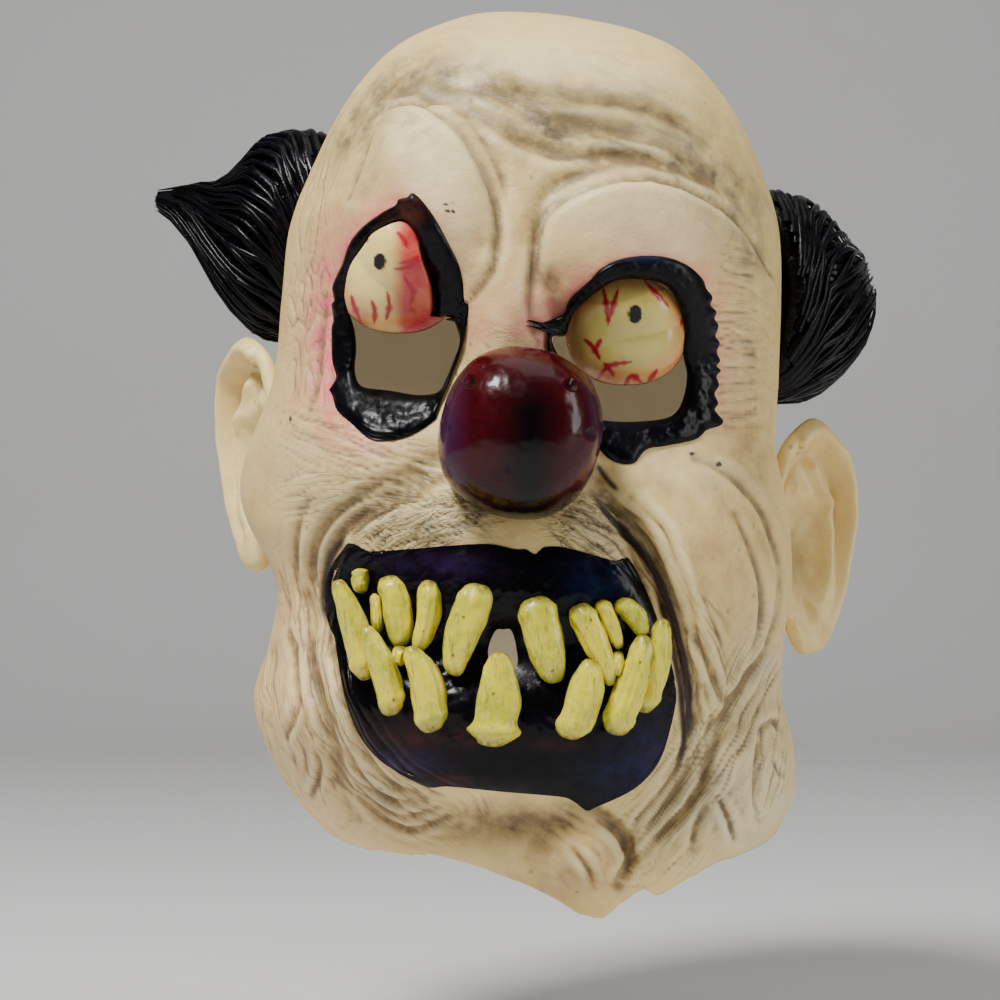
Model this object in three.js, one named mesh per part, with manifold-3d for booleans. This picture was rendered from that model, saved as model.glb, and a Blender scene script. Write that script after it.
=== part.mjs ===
// A full-head clown mask cast in thin latex: a hollow skull and face with bulging brow lobes, slack jowls
// and a snarling mouth. It pulls on over the head from below. The face looks along -Y, +X is the right of a
// person looking at it, +Z is up, and the origin is inside the crown, where the wearer's head touches it.
// Lengths are in millimetres. Tables give places as shares of the mask's own size: "across" is a share of
// MASK_HALF_WIDTH to the right of the middle, and "drop" a share of MASK_HEIGHT below the top.
import * as THREE from "three";
import { mergeVertices } from "three/addons/utils/BufferGeometryUtils.js";
import Module from "manifold-3d";

const MASK_HEIGHT = 300; // crown to the bottom of the chin
const MASK_HALF_WIDTH = 93; // middle to the side, at the cheeks and jowls
const FACE_DEPTH = 100; // from the plane of the ears forwards to the face
const SKULL_DEPTH = 108; // from the plane of the ears back to the skull
const WALL = 2.5; // thickness of the latex
const SEAT_GAP = 0.3; // clearance between a piece and what it sits on

const RIM_RAISE = 1.6; // how far the painted eye rims stand above the skin
const LIP_RAISE = 1.2; // how far the black mouth stands above the skin round it

const NOSE_WIDTH = 50;
const NOSE_HEIGHT = 53;
const NOSE_LENGTH = 56; // front to back, including the part that the face cuts away
const NOSE_SINK = 9; // how far the nose's middle lies in front of the skin

const NOSE_SEAT = { across: -0.036, drop: 0.488, lean: 0.25 }; // "lean" is in radians

const EYE_LENGTH = 30; // the eyeball front to back before its back is trimmed flat
const EYE_SINK = 8.5; // how far the eyeball's middle lies behind the skin
const EYE_BACK = 5; // how far the eyeball reaches behind its own middle

const TOOTH_THICKNESS = 10; // half of it stands out of the gum
const TOOTH_FLARE = 1.5; // how much further forwards a tooth's tip stands than its root
const TOOTH_FULLNESS = 1.1; // makes up for the rounding of a tooth's ends and sides

const EAR_HEIGHT = 82;
const EAR_WIDTH = 42;
const EAR_WALL = 4.5;
const EAR_CUP = 9; // depth of the bowl
const EAR_HELIX = 3.5; // height of the rolled rim

const TUFT_REACH = 52; // root to tip of a tuft of hair
const TUFT_HALF_HEIGHT = 34;
const TUFT_HALF_DEPTH = 22;
const TUFT_ROOT = 16; // how far the root reaches into the side of the head before it is trimmed
const LOCK_DEPTH = 0.09; // depth of the grooves between locks, as a share of the tuft's own radius
const LOCKS = 7;

// Level sections of the head, each a rounded oval. "middle" and "half" are shares of MASK_HALF_WIDTH,
// "front" of FACE_DEPTH and "back" of SKULL_DEPTH.
const OVAL_POWER = 2.3;
const SECTIONS = [
  { drop: 0.0, middle: -0.13, half: 0.0, front: 0.0, back: 0.0 },
  { drop: 0.015, middle: -0.03, half: 0.29, front: 0.3, back: 0.33 },
  { drop: 0.045, middle: 0.02, half: 0.52, front: 0.56, back: 0.56 },
  { drop: 0.1, middle: 0.03, half: 0.69, front: 0.78, back: 0.77 },
  { drop: 0.17, middle: 0.03, half: 0.81, front: 0.89, back: 0.9 },
  { drop: 0.25, middle: 0.02, half: 0.9, front: 0.92, back: 0.97 },
  { drop: 0.33, middle: 0.01, half: 0.92, front: 0.91, back: 1.0 },
  { drop: 0.42, middle: -0.01, half: 0.93, front: 0.92, back: 0.98 },
  { drop: 0.5, middle: -0.05, half: 0.96, front: 0.94, back: 0.93 },
  { drop: 0.58, middle: -0.02, half: 0.98, front: 0.97, back: 0.86 },
  { drop: 0.66, middle: 0.02, half: 0.945, front: 1.0, back: 0.8 },
  { drop: 0.72, middle: -0.01, half: 0.945, front: 1.02, back: 0.78 },
  { drop: 0.78, middle: -0.04, half: 0.97, front: 1.02, back: 0.76 },
  { drop: 0.84, middle: 0.01, half: 0.965, front: 0.99, back: 0.75 },
  { drop: 0.9, middle: 0.065, half: 0.9, front: 0.94, back: 0.7 },
  { drop: 0.94, middle: 0.1, half: 0.78, front: 0.9, back: 0.62 },
  { drop: 0.97, middle: 0.16, half: 0.6, front: 0.87, back: 0.52 },
  { drop: 1.02, middle: 0.2, half: 0.3, front: 0.84, back: 0.4 },
];

// The cut lower edge, going round the head. "turn" is in degrees from the nose, positive to the right.
const LOWER_EDGE = [
  { turn: -180, drop: 0.81 },
  { turn: -140, drop: 0.825 },
  { turn: -110, drop: 0.87 },
  { turn: -90, drop: 0.91 },
  { turn: -68, drop: 0.936 },
  { turn: -40, drop: 0.933 },
  { turn: -19, drop: 0.942 },
  { turn: -9, drop: 0.965 },
  { turn: -2, drop: 0.988 },
  { turn: 6, drop: 0.995 },
  { turn: 12, drop: 0.98 },
  { turn: 18, drop: 0.968 },
  { turn: 25, drop: 0.975 },
  { turn: 39, drop: 0.948 },
  { turn: 60, drop: 0.935 },
  { turn: 90, drop: 0.91 },
  { turn: 110, drop: 0.87 },
  { turn: 140, drop: 0.825 },
  { turn: 180, drop: 0.81 },
];

// Swellings and hollows of the face. "wide" is a share of MASK_HALF_WIDTH, "high" of MASK_HEIGHT, "out" of
// FACE_DEPTH, "lean" is in degrees, and "flat" is 1 for a soft mound and 2 for one with a flatter top.
const SWELLINGS = [
  { part: "left brow lobe", across: -0.444, drop: 0.231, wide: 0.33, high: 0.118, lean: -10, out: 0.12, flat: 2 },
  { part: "right brow lobe", across: 0.414, drop: 0.298, wide: 0.4, high: 0.09, lean: 10, out: 0.12, flat: 2 },
  { part: "nose bridge", across: -0.077, drop: 0.36, wide: 0.12, high: 0.083, lean: 0, out: 0.1, flat: 1 },
  { part: "left eye socket", across: -0.438, drop: 0.391, wide: 0.21, high: 0.078, lean: 0, out: -0.1, flat: 1 },
  { part: "right eye socket", across: 0.364, drop: 0.417, wide: 0.25, high: 0.064, lean: 0, out: -0.1, flat: 1 },
  { part: "left cheek", across: -0.655, drop: 0.51, wide: 0.3, high: 0.052, lean: 0, out: 0.07, flat: 1 },
  { part: "right cheek", across: 0.647, drop: 0.63, wide: 0.25, high: 0.124, lean: 0, out: 0.07, flat: 2 },
  { part: "left lip pad", across: -0.371, drop: 0.573, wide: 0.267, high: 0.033, lean: 0, out: 0.06, flat: 1 },
  { part: "right lip pad", across: 0.18, drop: 0.583, wide: 0.2, high: 0.033, lean: 0, out: 0.06, flat: 1 },
  { part: "muzzle", across: -0.114, drop: 0.733, wide: 0.63, high: 0.145, lean: 0, out: 0.08, flat: 2 },
  { part: "left jowl", across: -0.805, drop: 0.79, wide: 0.19, high: 0.083, lean: 0, out: 0.1, flat: 1 },
  { part: "right jowl", across: 0.781, drop: 0.868, wide: 0.2, high: 0.067, lean: 0, out: 0.1, flat: 1 },
  { part: "chin", across: 0.18, drop: 0.94, wide: 0.19, high: 0.052, lean: 0, out: 0.08, flat: 1 },
  { part: "hollow under the lip", across: -0.1, drop: 0.888, wide: 0.3, high: 0.03, lean: 0, out: -0.06, flat: 1 },
];

// Long folds and creases, each along a smooth line of [across, drop] points. "reach" is a share of
// MASK_HALF_WIDTH on each side of the line, and "out" a share of FACE_DEPTH, negative for a crease.
const FOLDS = [
  {
    part: "crease over the left brow lobe",
    reach: 0.11,
    out: -0.05,
    line: [[-0.68, 0.184], [-0.55, 0.127], [-0.37, 0.12], [-0.21, 0.164], [-0.117, 0.226], [-0.137, 0.288]],
  },
  {
    part: "crease over the right brow lobe",
    reach: 0.11,
    out: -0.05,
    line: [[0.03, 0.31], [0.035, 0.259], [0.113, 0.228], [0.313, 0.206], [0.554, 0.218], [0.73, 0.25]],
  },
  {
    part: "left fold from nose to mouth",
    reach: 0.11,
    out: -0.05,
    line: [[-0.318, 0.518], [-0.454, 0.549], [-0.638, 0.578], [-0.705, 0.614], [-0.725, 0.67]],
  },
  {
    part: "right fold from nose to mouth",
    reach: 0.11,
    out: -0.06,
    line: [[0.223, 0.536], [0.297, 0.578], [0.39, 0.619], [0.465, 0.671], [0.52, 0.733], [0.54, 0.785]],
  },
  {
    part: "right cheek ridge",
    reach: 0.1,
    out: 0.04,
    line: [[0.33, 0.534], [0.43, 0.578], [0.515, 0.635], [0.58, 0.702], [0.61, 0.764]],
  },
  {
    part: "forehead ridge",
    reach: 0.1,
    out: 0.035,
    line: [[-0.438, 0.089], [-0.204, 0.071], [-0.037, 0.097], [0.23, 0.117], [0.464, 0.122], [0.664, 0.184]],
  },
  {
    part: "forehead furrow",
    reach: 0.1,
    out: -0.04,
    line: [[-0.27, 0.105], [-0.087, 0.14], [0.03, 0.178], [0.23, 0.175], [0.497, 0.168], [0.697, 0.225]],
  },
  {
    part: "furrow between the rows of teeth",
    reach: 0.15,
    out: -0.08,
    line: [[-0.58, 0.66], [-0.45, 0.695], [-0.25, 0.71], [0, 0.712], [0.2, 0.71], [0.38, 0.69]],
  },
  {
    part: "left jowl crease",
    reach: 0.11,
    out: -0.04,
    line: [[-0.76, 0.66], [-0.74, 0.754], [-0.64, 0.847], [-0.438, 0.909]],
  },
  {
    part: "right jowl crease",
    reach: 0.11,
    out: -0.04,
    line: [[0.798, 0.754], [0.63, 0.811], [0.53, 0.868], [0.364, 0.919]],
  },
];
const FOLD_STEPS = 20;

// Outlines on the face, as [across, drop] points that a smooth closed line goes through.
const MOUTH_OUTLINE = [
  [-0.61, 0.6], [-0.54, 0.611], [-0.32, 0.605], [-0.11, 0.601], [0.03, 0.609], [0.16, 0.611], [0.29, 0.617],
  [0.34, 0.632], [0.406, 0.678], [0.459, 0.725], [0.477, 0.77], [0.422, 0.816], [0.333, 0.857], [0.21, 0.876],
  [0.095, 0.862], [-0.19, 0.852], [-0.395, 0.852], [-0.544, 0.822], [-0.633, 0.753], [-0.69, 0.678],
  [-0.703, 0.64], [-0.66, 0.612],
];
const LEFT_RIM_OUTLINE = [
  [-0.38, 0.24], [-0.46, 0.25], [-0.54, 0.261], [-0.61, 0.28], [-0.66, 0.308], [-0.685, 0.358], [-0.692, 0.41],
  [-0.697, 0.437], [-0.66, 0.462], [-0.6, 0.482], [-0.5, 0.495], [-0.39, 0.493], [-0.3, 0.48], [-0.235, 0.445],
  [-0.215, 0.4], [-0.211, 0.355], [-0.24, 0.314], [-0.3, 0.27],
];
const LEFT_EYE_OPENING = [
  [-0.451, 0.267], [-0.55, 0.281], [-0.618, 0.308], [-0.635, 0.34], [-0.612, 0.38], [-0.598, 0.425],
  [-0.565, 0.438], [-0.44, 0.444], [-0.34, 0.443], [-0.28, 0.42], [-0.27, 0.385], [-0.3, 0.36], [-0.345, 0.33],
  [-0.395, 0.278],
];
const RIGHT_RIM_OUTLINE = [
  [0.055, 0.372], [0.116, 0.348], [0.187, 0.328], [0.293, 0.307], [0.397, 0.303], [0.48, 0.307], [0.564, 0.321],
  [0.62, 0.348], [0.654, 0.392], [0.66, 0.43], [0.65, 0.47], [0.584, 0.492], [0.45, 0.502], [0.34, 0.516],
  [0.27, 0.516], [0.19, 0.492], [0.1, 0.45], [0.05, 0.405],
];
const RIGHT_EYE_OPENING = [
  [0.1, 0.388], [0.135, 0.36], [0.195, 0.342], [0.313, 0.33], [0.427, 0.33], [0.48, 0.34], [0.517, 0.362],
  [0.532, 0.4], [0.54, 0.436], [0.52, 0.457], [0.47, 0.467], [0.36, 0.472], [0.26, 0.472], [0.19, 0.452],
  [0.125, 0.42],
];
const BREATHING_GAP = [
  [-0.122, 0.691], [-0.066, 0.691], [-0.05, 0.708], [-0.052, 0.73], [-0.12, 0.735], [-0.14, 0.712],
];

// The eyeballs: "wide" is a share of MASK_HALF_WIDTH and "high" of MASK_HEIGHT, each from middle to edge.
const EYEBALLS = {
  left_eyeball: { across: -0.454, drop: 0.319, wide: 0.19, high: 0.062, rim: "left_eye_rim" },
  right_eyeball: { across: 0.327, drop: 0.377, wide: 0.21, high: 0.062, rim: "right_eye_rim" },
};

// Each tooth runs from its root in the gum to its tip. "wide" is a share of MASK_HALF_WIDTH.
const TEETH = [
  { row: "upper", root: [-0.568, 0.63], tip: [-0.565, 0.653], wide: 0.06 },
  { row: "upper", root: [-0.512, 0.655], tip: [-0.516, 0.695], wide: 0.045 },
  { row: "upper", root: [-0.46, 0.641], tip: [-0.44, 0.704], wide: 0.092 },
  { row: "upper", root: [-0.338, 0.644], tip: [-0.364, 0.708], wide: 0.075 },
  { row: "upper", root: [-0.163, 0.647], tip: [-0.236, 0.73], wide: 0.105 },
  { row: "upper", root: [0.012, 0.658], tip: [0.07, 0.738], wide: 0.125 },
  { row: "upper", root: [0.151, 0.667], tip: [0.25, 0.74], wide: 0.082 },
  { row: "upper", root: [0.225, 0.662], tip: [0.283, 0.706], wide: 0.055 },
  { row: "upper", root: [0.288, 0.66], tip: [0.36, 0.69], wide: 0.062 },
  { row: "lower", root: [-0.548, 0.74], tip: [-0.636, 0.642], wide: 0.088 },
  { row: "lower", root: [-0.459, 0.775], tip: [-0.539, 0.689], wide: 0.084 },
  { row: "lower", root: [-0.435, 0.733], tip: [-0.435, 0.709], wide: 0.05 },
  { row: "lower", root: [-0.335, 0.791], tip: [-0.388, 0.712], wide: 0.102 },
  { row: "lower", root: [-0.134, 0.806], tip: [-0.112, 0.722], wide: 0.133 },
  { row: "lower", root: [0.118, 0.796], tip: [0.18, 0.723], wide: 0.106 },
  { row: "lower", root: [0.3, 0.737], tip: [0.3, 0.717], wide: 0.04 },
  { row: "lower", root: [0.275, 0.792], tip: [0.362, 0.7], wide: 0.098 },
  { row: "lower", root: [0.372, 0.774], tip: [0.437, 0.683], wide: 0.08 },
];

// The ears: where each is rooted, how far it is swept back in degrees, and how far it tips over.
const EARS = {
  left_ear: { side: -1, drop: 0.5, sweep: 58, tip: 6, forward: -0.04 },
  right_ear: { side: 1, drop: 0.6, sweep: 42, tip: 2, forward: 0.0 },
};

// Cross-sections of each tuft of hair from root to tip. "out" is a share of TUFT_REACH, "rise" and "tall" of
// TUFT_HALF_HEIGHT, and "deep" of TUFT_HALF_DEPTH. "sweep" turns the whole tuft back, in degrees.
const TUFTS = {
  left_hair_tuft: {
    side: -1,
    drop: 0.25,
    set_back: 0.12,
    sweep: 14,
    stations: [
      { out: 0.0, rise: 0.0, tall: 1.0, deep: 1.0 },
      { out: 0.22, rise: -0.02, tall: 0.93, deep: 0.95 },
      { out: 0.36, rise: -0.05, tall: 0.74, deep: 0.8 },
      { out: 0.52, rise: 0.02, tall: 0.52, deep: 0.6 },
      { out: 0.66, rise: 0.18, tall: 0.36, deep: 0.44 },
      { out: 0.8, rise: 0.32, tall: 0.2, deep: 0.28 },
      { out: 0.96, rise: 0.4, tall: 0.1, deep: 0.12 },
    ],
  },
  right_hair_tuft: {
    side: 1,
    drop: 0.32,
    set_back: 0.12,
    sweep: 46,
    stations: [
      { out: 0.0, rise: 0.0, tall: 1.0, deep: 1.0 },
      { out: 0.25, rise: -0.02, tall: 0.95, deep: 1.0 },
      { out: 0.45, rise: -0.04, tall: 0.8, deep: 0.9 },
      { out: 0.62, rise: -0.03, tall: 0.66, deep: 0.76 },
      { out: 0.78, rise: 0.02, tall: 0.5, deep: 0.56 },
      { out: 0.9, rise: 0.06, tall: 0.32, deep: 0.34 },
      { out: 0.97, rise: 0.08, tall: 0.14, deep: 0.16 },
    ],
  },
};

// Fineness of the meshes.
const OUTER_FACE = { columns: 44, rows: 32 };
const INNER_FACE = { columns: 34, rows: 24 };
const FRONT_CROWDING = 0.48; // 0 spaces the columns evenly, 1 crowds them all towards the nose
const CROWN_EASE = 0.12;

const wasm = await Module();
wasm.setup();

// Shells, solids and meshes

function manifoldFrom(geometry) {
  const bare = geometry.clone();
  bare.deleteAttribute("normal");
  bare.deleteAttribute("uv");
  const merged = mergeVertices(bare, 1e-4);
  const vertProperties = new Float32Array(merged.attributes.position.array);
  const triVerts = new Uint32Array(merged.index.array);
  const solid = new wasm.Manifold(new wasm.Mesh({ numProp: 3, vertProperties, triVerts }));
  if (solid.volume() > 0) return solid;
  for (let i = 0; i < triVerts.length; i += 3) {
    [triVerts[i + 1], triVerts[i + 2]] = [triVerts[i + 2], triVerts[i + 1]];
  }
  return new wasm.Manifold(new wasm.Mesh({ numProp: 3, vertProperties, triVerts }));
}

function meshFrom(name, solid, material) {
  const { numProp, numVert, vertProperties, triVerts } = solid.getMesh();
  const positions = new Float32Array(numVert * 3);
  for (let i = 0; i < numVert; i++) {
    positions.set(vertProperties.subarray(i * numProp, i * numProp + 3), i * 3);
  }
  const geometry = new THREE.BufferGeometry();
  geometry.setAttribute("position", new THREE.BufferAttribute(positions, 3));
  geometry.setIndex(new THREE.BufferAttribute(new Uint32Array(triVerts), 1));
  geometry.computeVertexNormals();
  const mesh = new THREE.Mesh(geometry, material);
  mesh.name = name;
  return mesh;
}

// The biggest piece of a solid, for a cut that leaves a crumb behind.
function mainBody(solid) {
  return solid.decompose().sort((a, b) => b.volume() - a.volume())[0];
}

// A closed solid from rings of points, all with the same count, ending in a point at each end.
function ringSolid(startPoint, rings, endPoint) {
  const count = rings[0].length;
  const points = [startPoint, ...rings.flat(), endPoint];
  const last = points.length - 1;
  const index = [];
  for (let i = 0; i < count; i++) {
    const next = (i + 1) % count;
    index.push(0, 1 + next, 1 + i);
    for (let j = 0; j < rings.length - 1; j++) {
      const here = 1 + j * count;
      const below = here + count;
      index.push(here + i, here + next, below + i, here + next, below + next, below + i);
    }
    const end = 1 + (rings.length - 1) * count;
    index.push(end + i, end + next, last);
  }
  const geometry = new THREE.BufferGeometry().setFromPoints(points);
  geometry.setIndex(index);
  return manifoldFrom(geometry);
}

function meanPoint(points) {
  const sum = points.reduce((total, point) => total.add(point), new THREE.Vector3());
  return sum.divideScalar(points.length);
}

const UP = new THREE.Vector3(0, 0, 1);

// The form of the head

// A smooth curve through the rows of a table, by Hermite pieces with slopes from the neighbouring rows.
function smoothColumn(knots, values) {
  const slopes = knots.map((knot, i) => {
    const before = Math.max(0, i - 1);
    const after = Math.min(knots.length - 1, i + 1);
    return (values[after] - values[before]) / (knots[after] - knots[before]);
  });
  return (at) => {
    let i = knots.length - 2;
    while (i > 0 && knots[i] > at) i--;
    const step = knots[i + 1] - knots[i];
    const t = THREE.MathUtils.clamp((at - knots[i]) / step, 0, 1);
    const rise = t * t * (3 - 2 * t);
    const startPull = t * (1 - t) * (1 - t) * step * slopes[i];
    const endPull = t * t * (1 - t) * step * slopes[i + 1];
    return values[i] + (values[i + 1] - values[i]) * rise + startPull - endPull;
  };
}

const sectionKnots = SECTIONS.map((row) => Math.sqrt(row.drop));
const sectionColumns = Object.fromEntries(
  ["middle", "half", "front", "back"].map((column) => [
    column,
    smoothColumn(sectionKnots, SECTIONS.map((row) => row[column])),
  ]),
);

function sectionAt(drop) {
  const knot = Math.sqrt(Math.max(drop, 0));
  return {
    middle: sectionColumns.middle(knot) * MASK_HALF_WIDTH,
    half: Math.max(sectionColumns.half(knot) * MASK_HALF_WIDTH, 0),
    front: Math.max(sectionColumns.front(knot) * FACE_DEPTH, 0),
    back: Math.max(sectionColumns.back(knot) * SKULL_DEPTH, 0),
  };
}

const lowerEdge = smoothColumn(
  LOWER_EDGE.map((row) => row.turn),
  LOWER_EDGE.map((row) => row.drop),
);

const foldLines = FOLDS.map(({ line }) => {
  const knots = line.map((_, i) => i);
  const across = smoothColumn(knots, line.map((point) => point[0]));
  const drop = smoothColumn(knots, line.map((point) => point[1]));
  return Array.from({ length: FOLD_STEPS + 1 }, (_, i) => {
    const at = (i / FOLD_STEPS) * (line.length - 1);
    return new THREE.Vector2(across(at) * MASK_HALF_WIDTH, drop(at) * MASK_HEIGHT);
  });
});

// Distance from a place on the face to a fold's line, and how far along the line it is nearest.
function nearestOnLine(place, line) {
  let best = { distance: Infinity, along: 0 };
  const edge = new THREE.Vector2();
  const toPlace = new THREE.Vector2();
  for (let i = 0; i < line.length - 1; i++) {
    edge.subVectors(line[i + 1], line[i]);
    toPlace.subVectors(place, line[i]);
    const t = THREE.MathUtils.clamp(toPlace.dot(edge) / edge.lengthSq(), 0, 1);
    const distance = toPlace.addScaledVector(edge, -t).length();
    if (distance < best.distance) best = { distance, along: (i + t) / (line.length - 1) };
  }
  return best;
}

// How far the face swells forwards at a place, in millimetres.
function reliefAt(x, drop) {
  const place = new THREE.Vector2(x, drop * MASK_HEIGHT);
  let out = 0;
  for (const { across, drop: level, wide, high, lean, out: height, flat } of SWELLINGS) {
    const offset = new THREE.Vector2(x - across * MASK_HALF_WIDTH, (drop - level) * MASK_HEIGHT);
    offset.rotateAround(new THREE.Vector2(), -THREE.MathUtils.degToRad(lean));
    const reach = (offset.x / (wide * MASK_HALF_WIDTH)) ** 2 + (offset.y / (high * MASK_HEIGHT)) ** 2;
    out += height * FACE_DEPTH * Math.exp(-(reach ** flat));
  }
  FOLDS.forEach(({ reach, out: height }, i) => {
    const { distance, along } = nearestOnLine(place, foldLines[i]);
    const taper = Math.sin(Math.PI * THREE.MathUtils.clamp(along, 0.06, 0.94)) ** 0.5;
    out += height * FACE_DEPTH * taper * Math.exp(-((distance / (reach * MASK_HALF_WIDTH)) ** 2));
  });
  return out;
}

const TOP = WALL; // the height of the crown's outer face
const CROWN_BLEND = 0.05; // the relief fades out over this share of the drop, towards the crown

function heightOf(drop) {
  return TOP - drop * MASK_HEIGHT;
}

function reliefFade(sideways, drop) {
  return (1 - sideways ** 6) * THREE.MathUtils.clamp(drop / CROWN_BLEND, 0, 1);
}

// A point of the outer face, at a turn about the vertical axis and a drop from the crown.
function headPoint(turn, drop) {
  const { middle, half, front, back } = sectionAt(drop);
  const sine = Math.sin(turn);
  const cosine = Math.cos(turn);
  const sideways = Math.abs(sine) ** (2 / OVAL_POWER);
  const lengthways = Math.abs(cosine) ** (2 / OVAL_POWER);
  const x = middle + half * Math.sign(sine) * sideways;
  if (cosine <= 0) return new THREE.Vector3(x, back * lengthways, heightOf(drop));
  const relief = reliefAt(x, drop) * reliefFade(sideways, drop);
  return new THREE.Vector3(x, -(front * lengthways + relief), heightOf(drop));
}

// The outer face's depth straight in from the front, at a place given by shares.
function faceDepthAt(across, drop) {
  const { middle, half, front } = sectionAt(drop);
  const x = across * MASK_HALF_WIDTH;
  const sideways = THREE.MathUtils.clamp(Math.abs(x - middle) / half, 0, 1);
  const plain = front * (1 - sideways ** OVAL_POWER) ** (1 / OVAL_POWER);
  return -(plain + reliefAt(x, drop) * reliefFade(sideways, drop));
}

// Columns crowd towards the nose, and rows towards the crown where the sections close.
function columnTurn(share) {
  const side = 2 * share - 1;
  return Math.PI * ((1 - FRONT_CROWDING) * side + FRONT_CROWDING * side ** 3);
}

function rowShare(share) {
  return (share ** 2 / (share + CROWN_EASE)) * (1 + CROWN_EASE);
}

// Points of the outer face, and the outward directions there, on rings from the crown to the lower edge.
function headGrid({ columns, rows }) {
  const points = Array.from({ length: rows }, (_, row) =>
    Array.from({ length: columns }, (_, column) => {
      const turn = columnTurn(column / columns);
      return headPoint(turn, lowerEdge(THREE.MathUtils.radToDeg(turn)) * rowShare((row + 1) / rows));
    }),
  );
  const outwards = points.map((ring, row) =>
    ring.map((_, column) => {
      const before = ring[(column + columns - 1) % columns];
      const after = ring[(column + 1) % columns];
      const above = points[Math.max(row - 1, 0)][column];
      const below = points[Math.min(row + 1, rows - 1)][column];
      const along = new THREE.Vector3().subVectors(after, before);
      return new THREE.Vector3().subVectors(below, above).cross(along).normalize();
    }),
  );
  return { points, outwards };
}

const outerGrid = headGrid(OUTER_FACE);
const innerGrid = headGrid(INNER_FACE);

// The head as a filled solid, its face grown outwards by a distance, or inwards if that is negative.
// "overrun" carries the lower edge on downwards, so that the solid cuts right through another's underside.
function filledHead(grow, { grid = outerGrid, overrun = 0 } = {}) {
  const rings = grid.points.map((ring, row) =>
    ring.map((point, column) => point.clone().addScaledVector(grid.outwards[row][column], grow)),
  );
  if (overrun > 0) {
    const down = new THREE.Vector3(0, 0, -overrun);
    rings.push(rings.at(-1).map((point) => point.clone().add(down)));
  }
  const crown = headPoint(0, 0).setY(0);
  crown.z += grow;
  return ringSolid(crown, rings, meanPoint(rings.at(-1)));
}

const NECK_OVERRUN = 14;

function latexShell(raise = 0, extra = 0) {
  const outside = filledHead(raise + extra);
  return outside.subtract(filledHead(-WALL - extra, { grid: innerGrid, overrun: NECK_OVERRUN }));
}

// A straight-sided plug from an outline on the face, going right through its front wall.
function facePlug(outline, { grow = 0, sides = 30 } = {}) {
  const line = new THREE.CatmullRomCurve3(
    outline.map(([across, drop]) => new THREE.Vector3(across * MASK_HALF_WIDTH, heightOf(drop), 0)),
    true,
  );
  const points = line.getSpacedPoints(sides).slice(0, -1);
  const clockwise = THREE.ShapeUtils.isClockWise(points.map(({ x, y }) => new THREE.Vector2(x, y)));
  const moved = points.map((point, i) => {
    const along = points[(i + 1) % points.length].clone().sub(points.at(i - 1)).normalize();
    const outwards = new THREE.Vector2(along.y, -along.x).multiplyScalar(clockwise ? -grow : grow);
    return new THREE.Vector2(point.x + outwards.x, point.y + outwards.y);
  });
  const depth = 2 * FACE_DEPTH;
  const geometry = new THREE.ExtrudeGeometry(new THREE.Shape(moved), { depth, bevelEnabled: false });
  geometry.rotateX(Math.PI / 2);
  return manifoldFrom(geometry);
}

// A ball with its own width, depth and height, its height turned to lie along a direction.
function egg(centre, size, { along = UP, around = 12, over = 8, squareness = 2 } = {}) {
  const geometry = new THREE.SphereGeometry(0.5, around, over);
  const position = geometry.attributes.position;
  const point = new THREE.Vector3();
  for (let i = 0; i < position.count; i++) {
    point.fromBufferAttribute(position, i).multiplyScalar(2);
    const powers = point.toArray().map((value) => Math.abs(value) ** squareness);
    point.multiplyScalar(0.5 / (powers[0] + powers[1] + powers[2]) ** (1 / squareness));
    position.setXYZ(i, ...point);
  }
  geometry.rotateX(Math.PI / 2).scale(...size);
  geometry.applyQuaternion(new THREE.Quaternion().setFromUnitVectors(UP, along));
  geometry.translate(...centre);
  return manifoldFrom(geometry);
}

// The pieces

const seat = filledHead(SEAT_GAP, { overrun: NECK_OVERRUN });

function makeShell() {
  const cuts = [MOUTH_OUTLINE, LEFT_RIM_OUTLINE, RIGHT_RIM_OUTLINE].map((outline) => facePlug(outline));
  return mainBody(cuts.reduce((shell, cut) => shell.subtract(cut), latexShell()));
}

function makeEyeRim(outline, opening, extra = 0) {
  const band = latexShell(RIM_RAISE, extra).intersect(facePlug(outline, { grow: extra - SEAT_GAP }));
  return mainBody(band.subtract(facePlug(opening, { grow: -extra, sides: 22 })));
}

function makeMouth() {
  const gums = latexShell(LIP_RAISE).intersect(facePlug(MOUTH_OUTLINE, { grow: -SEAT_GAP }));
  return mainBody(gums.subtract(facePlug(BREATHING_GAP, { sides: 10 })));
}

function makeEyeball({ across, drop, wide, high }, rimWithGap) {
  const x = across * MASK_HALF_WIDTH;
  const y = faceDepthAt(across, drop) + EYE_SINK;
  const z = heightOf(drop);
  const size = [2 * wide * MASK_HALF_WIDTH, EYE_LENGTH, 2 * high * MASK_HEIGHT];
  const ball = egg([x, y, z], size, { around: 14, over: 8 });
  const reach = 2 * MASK_HALF_WIDTH;
  const behind = manifoldFrom(
    new THREE.BoxGeometry(reach, reach, reach).translate(x, y + EYE_BACK + reach / 2, z),
  );
  return mainBody(ball.subtract(behind).subtract(rimWithGap));
}

function makeNose(rimsWithGap) {
  const { across, drop, lean } = NOSE_SEAT;
  const centre = [across * MASK_HALF_WIDTH, faceDepthAt(across, drop) - NOSE_SINK, heightOf(drop)];
  const along = new THREE.Vector3(Math.sin(lean), 0, Math.cos(lean));
  const size = [NOSE_WIDTH, NOSE_LENGTH, NOSE_HEIGHT];
  const ball = egg(centre, size, { along, around: 14, over: 10, squareness: 2.3 });
  return mainBody(rimsWithGap.reduce((nose, rim) => nose.subtract(rim), ball.subtract(seat)));
}

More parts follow.
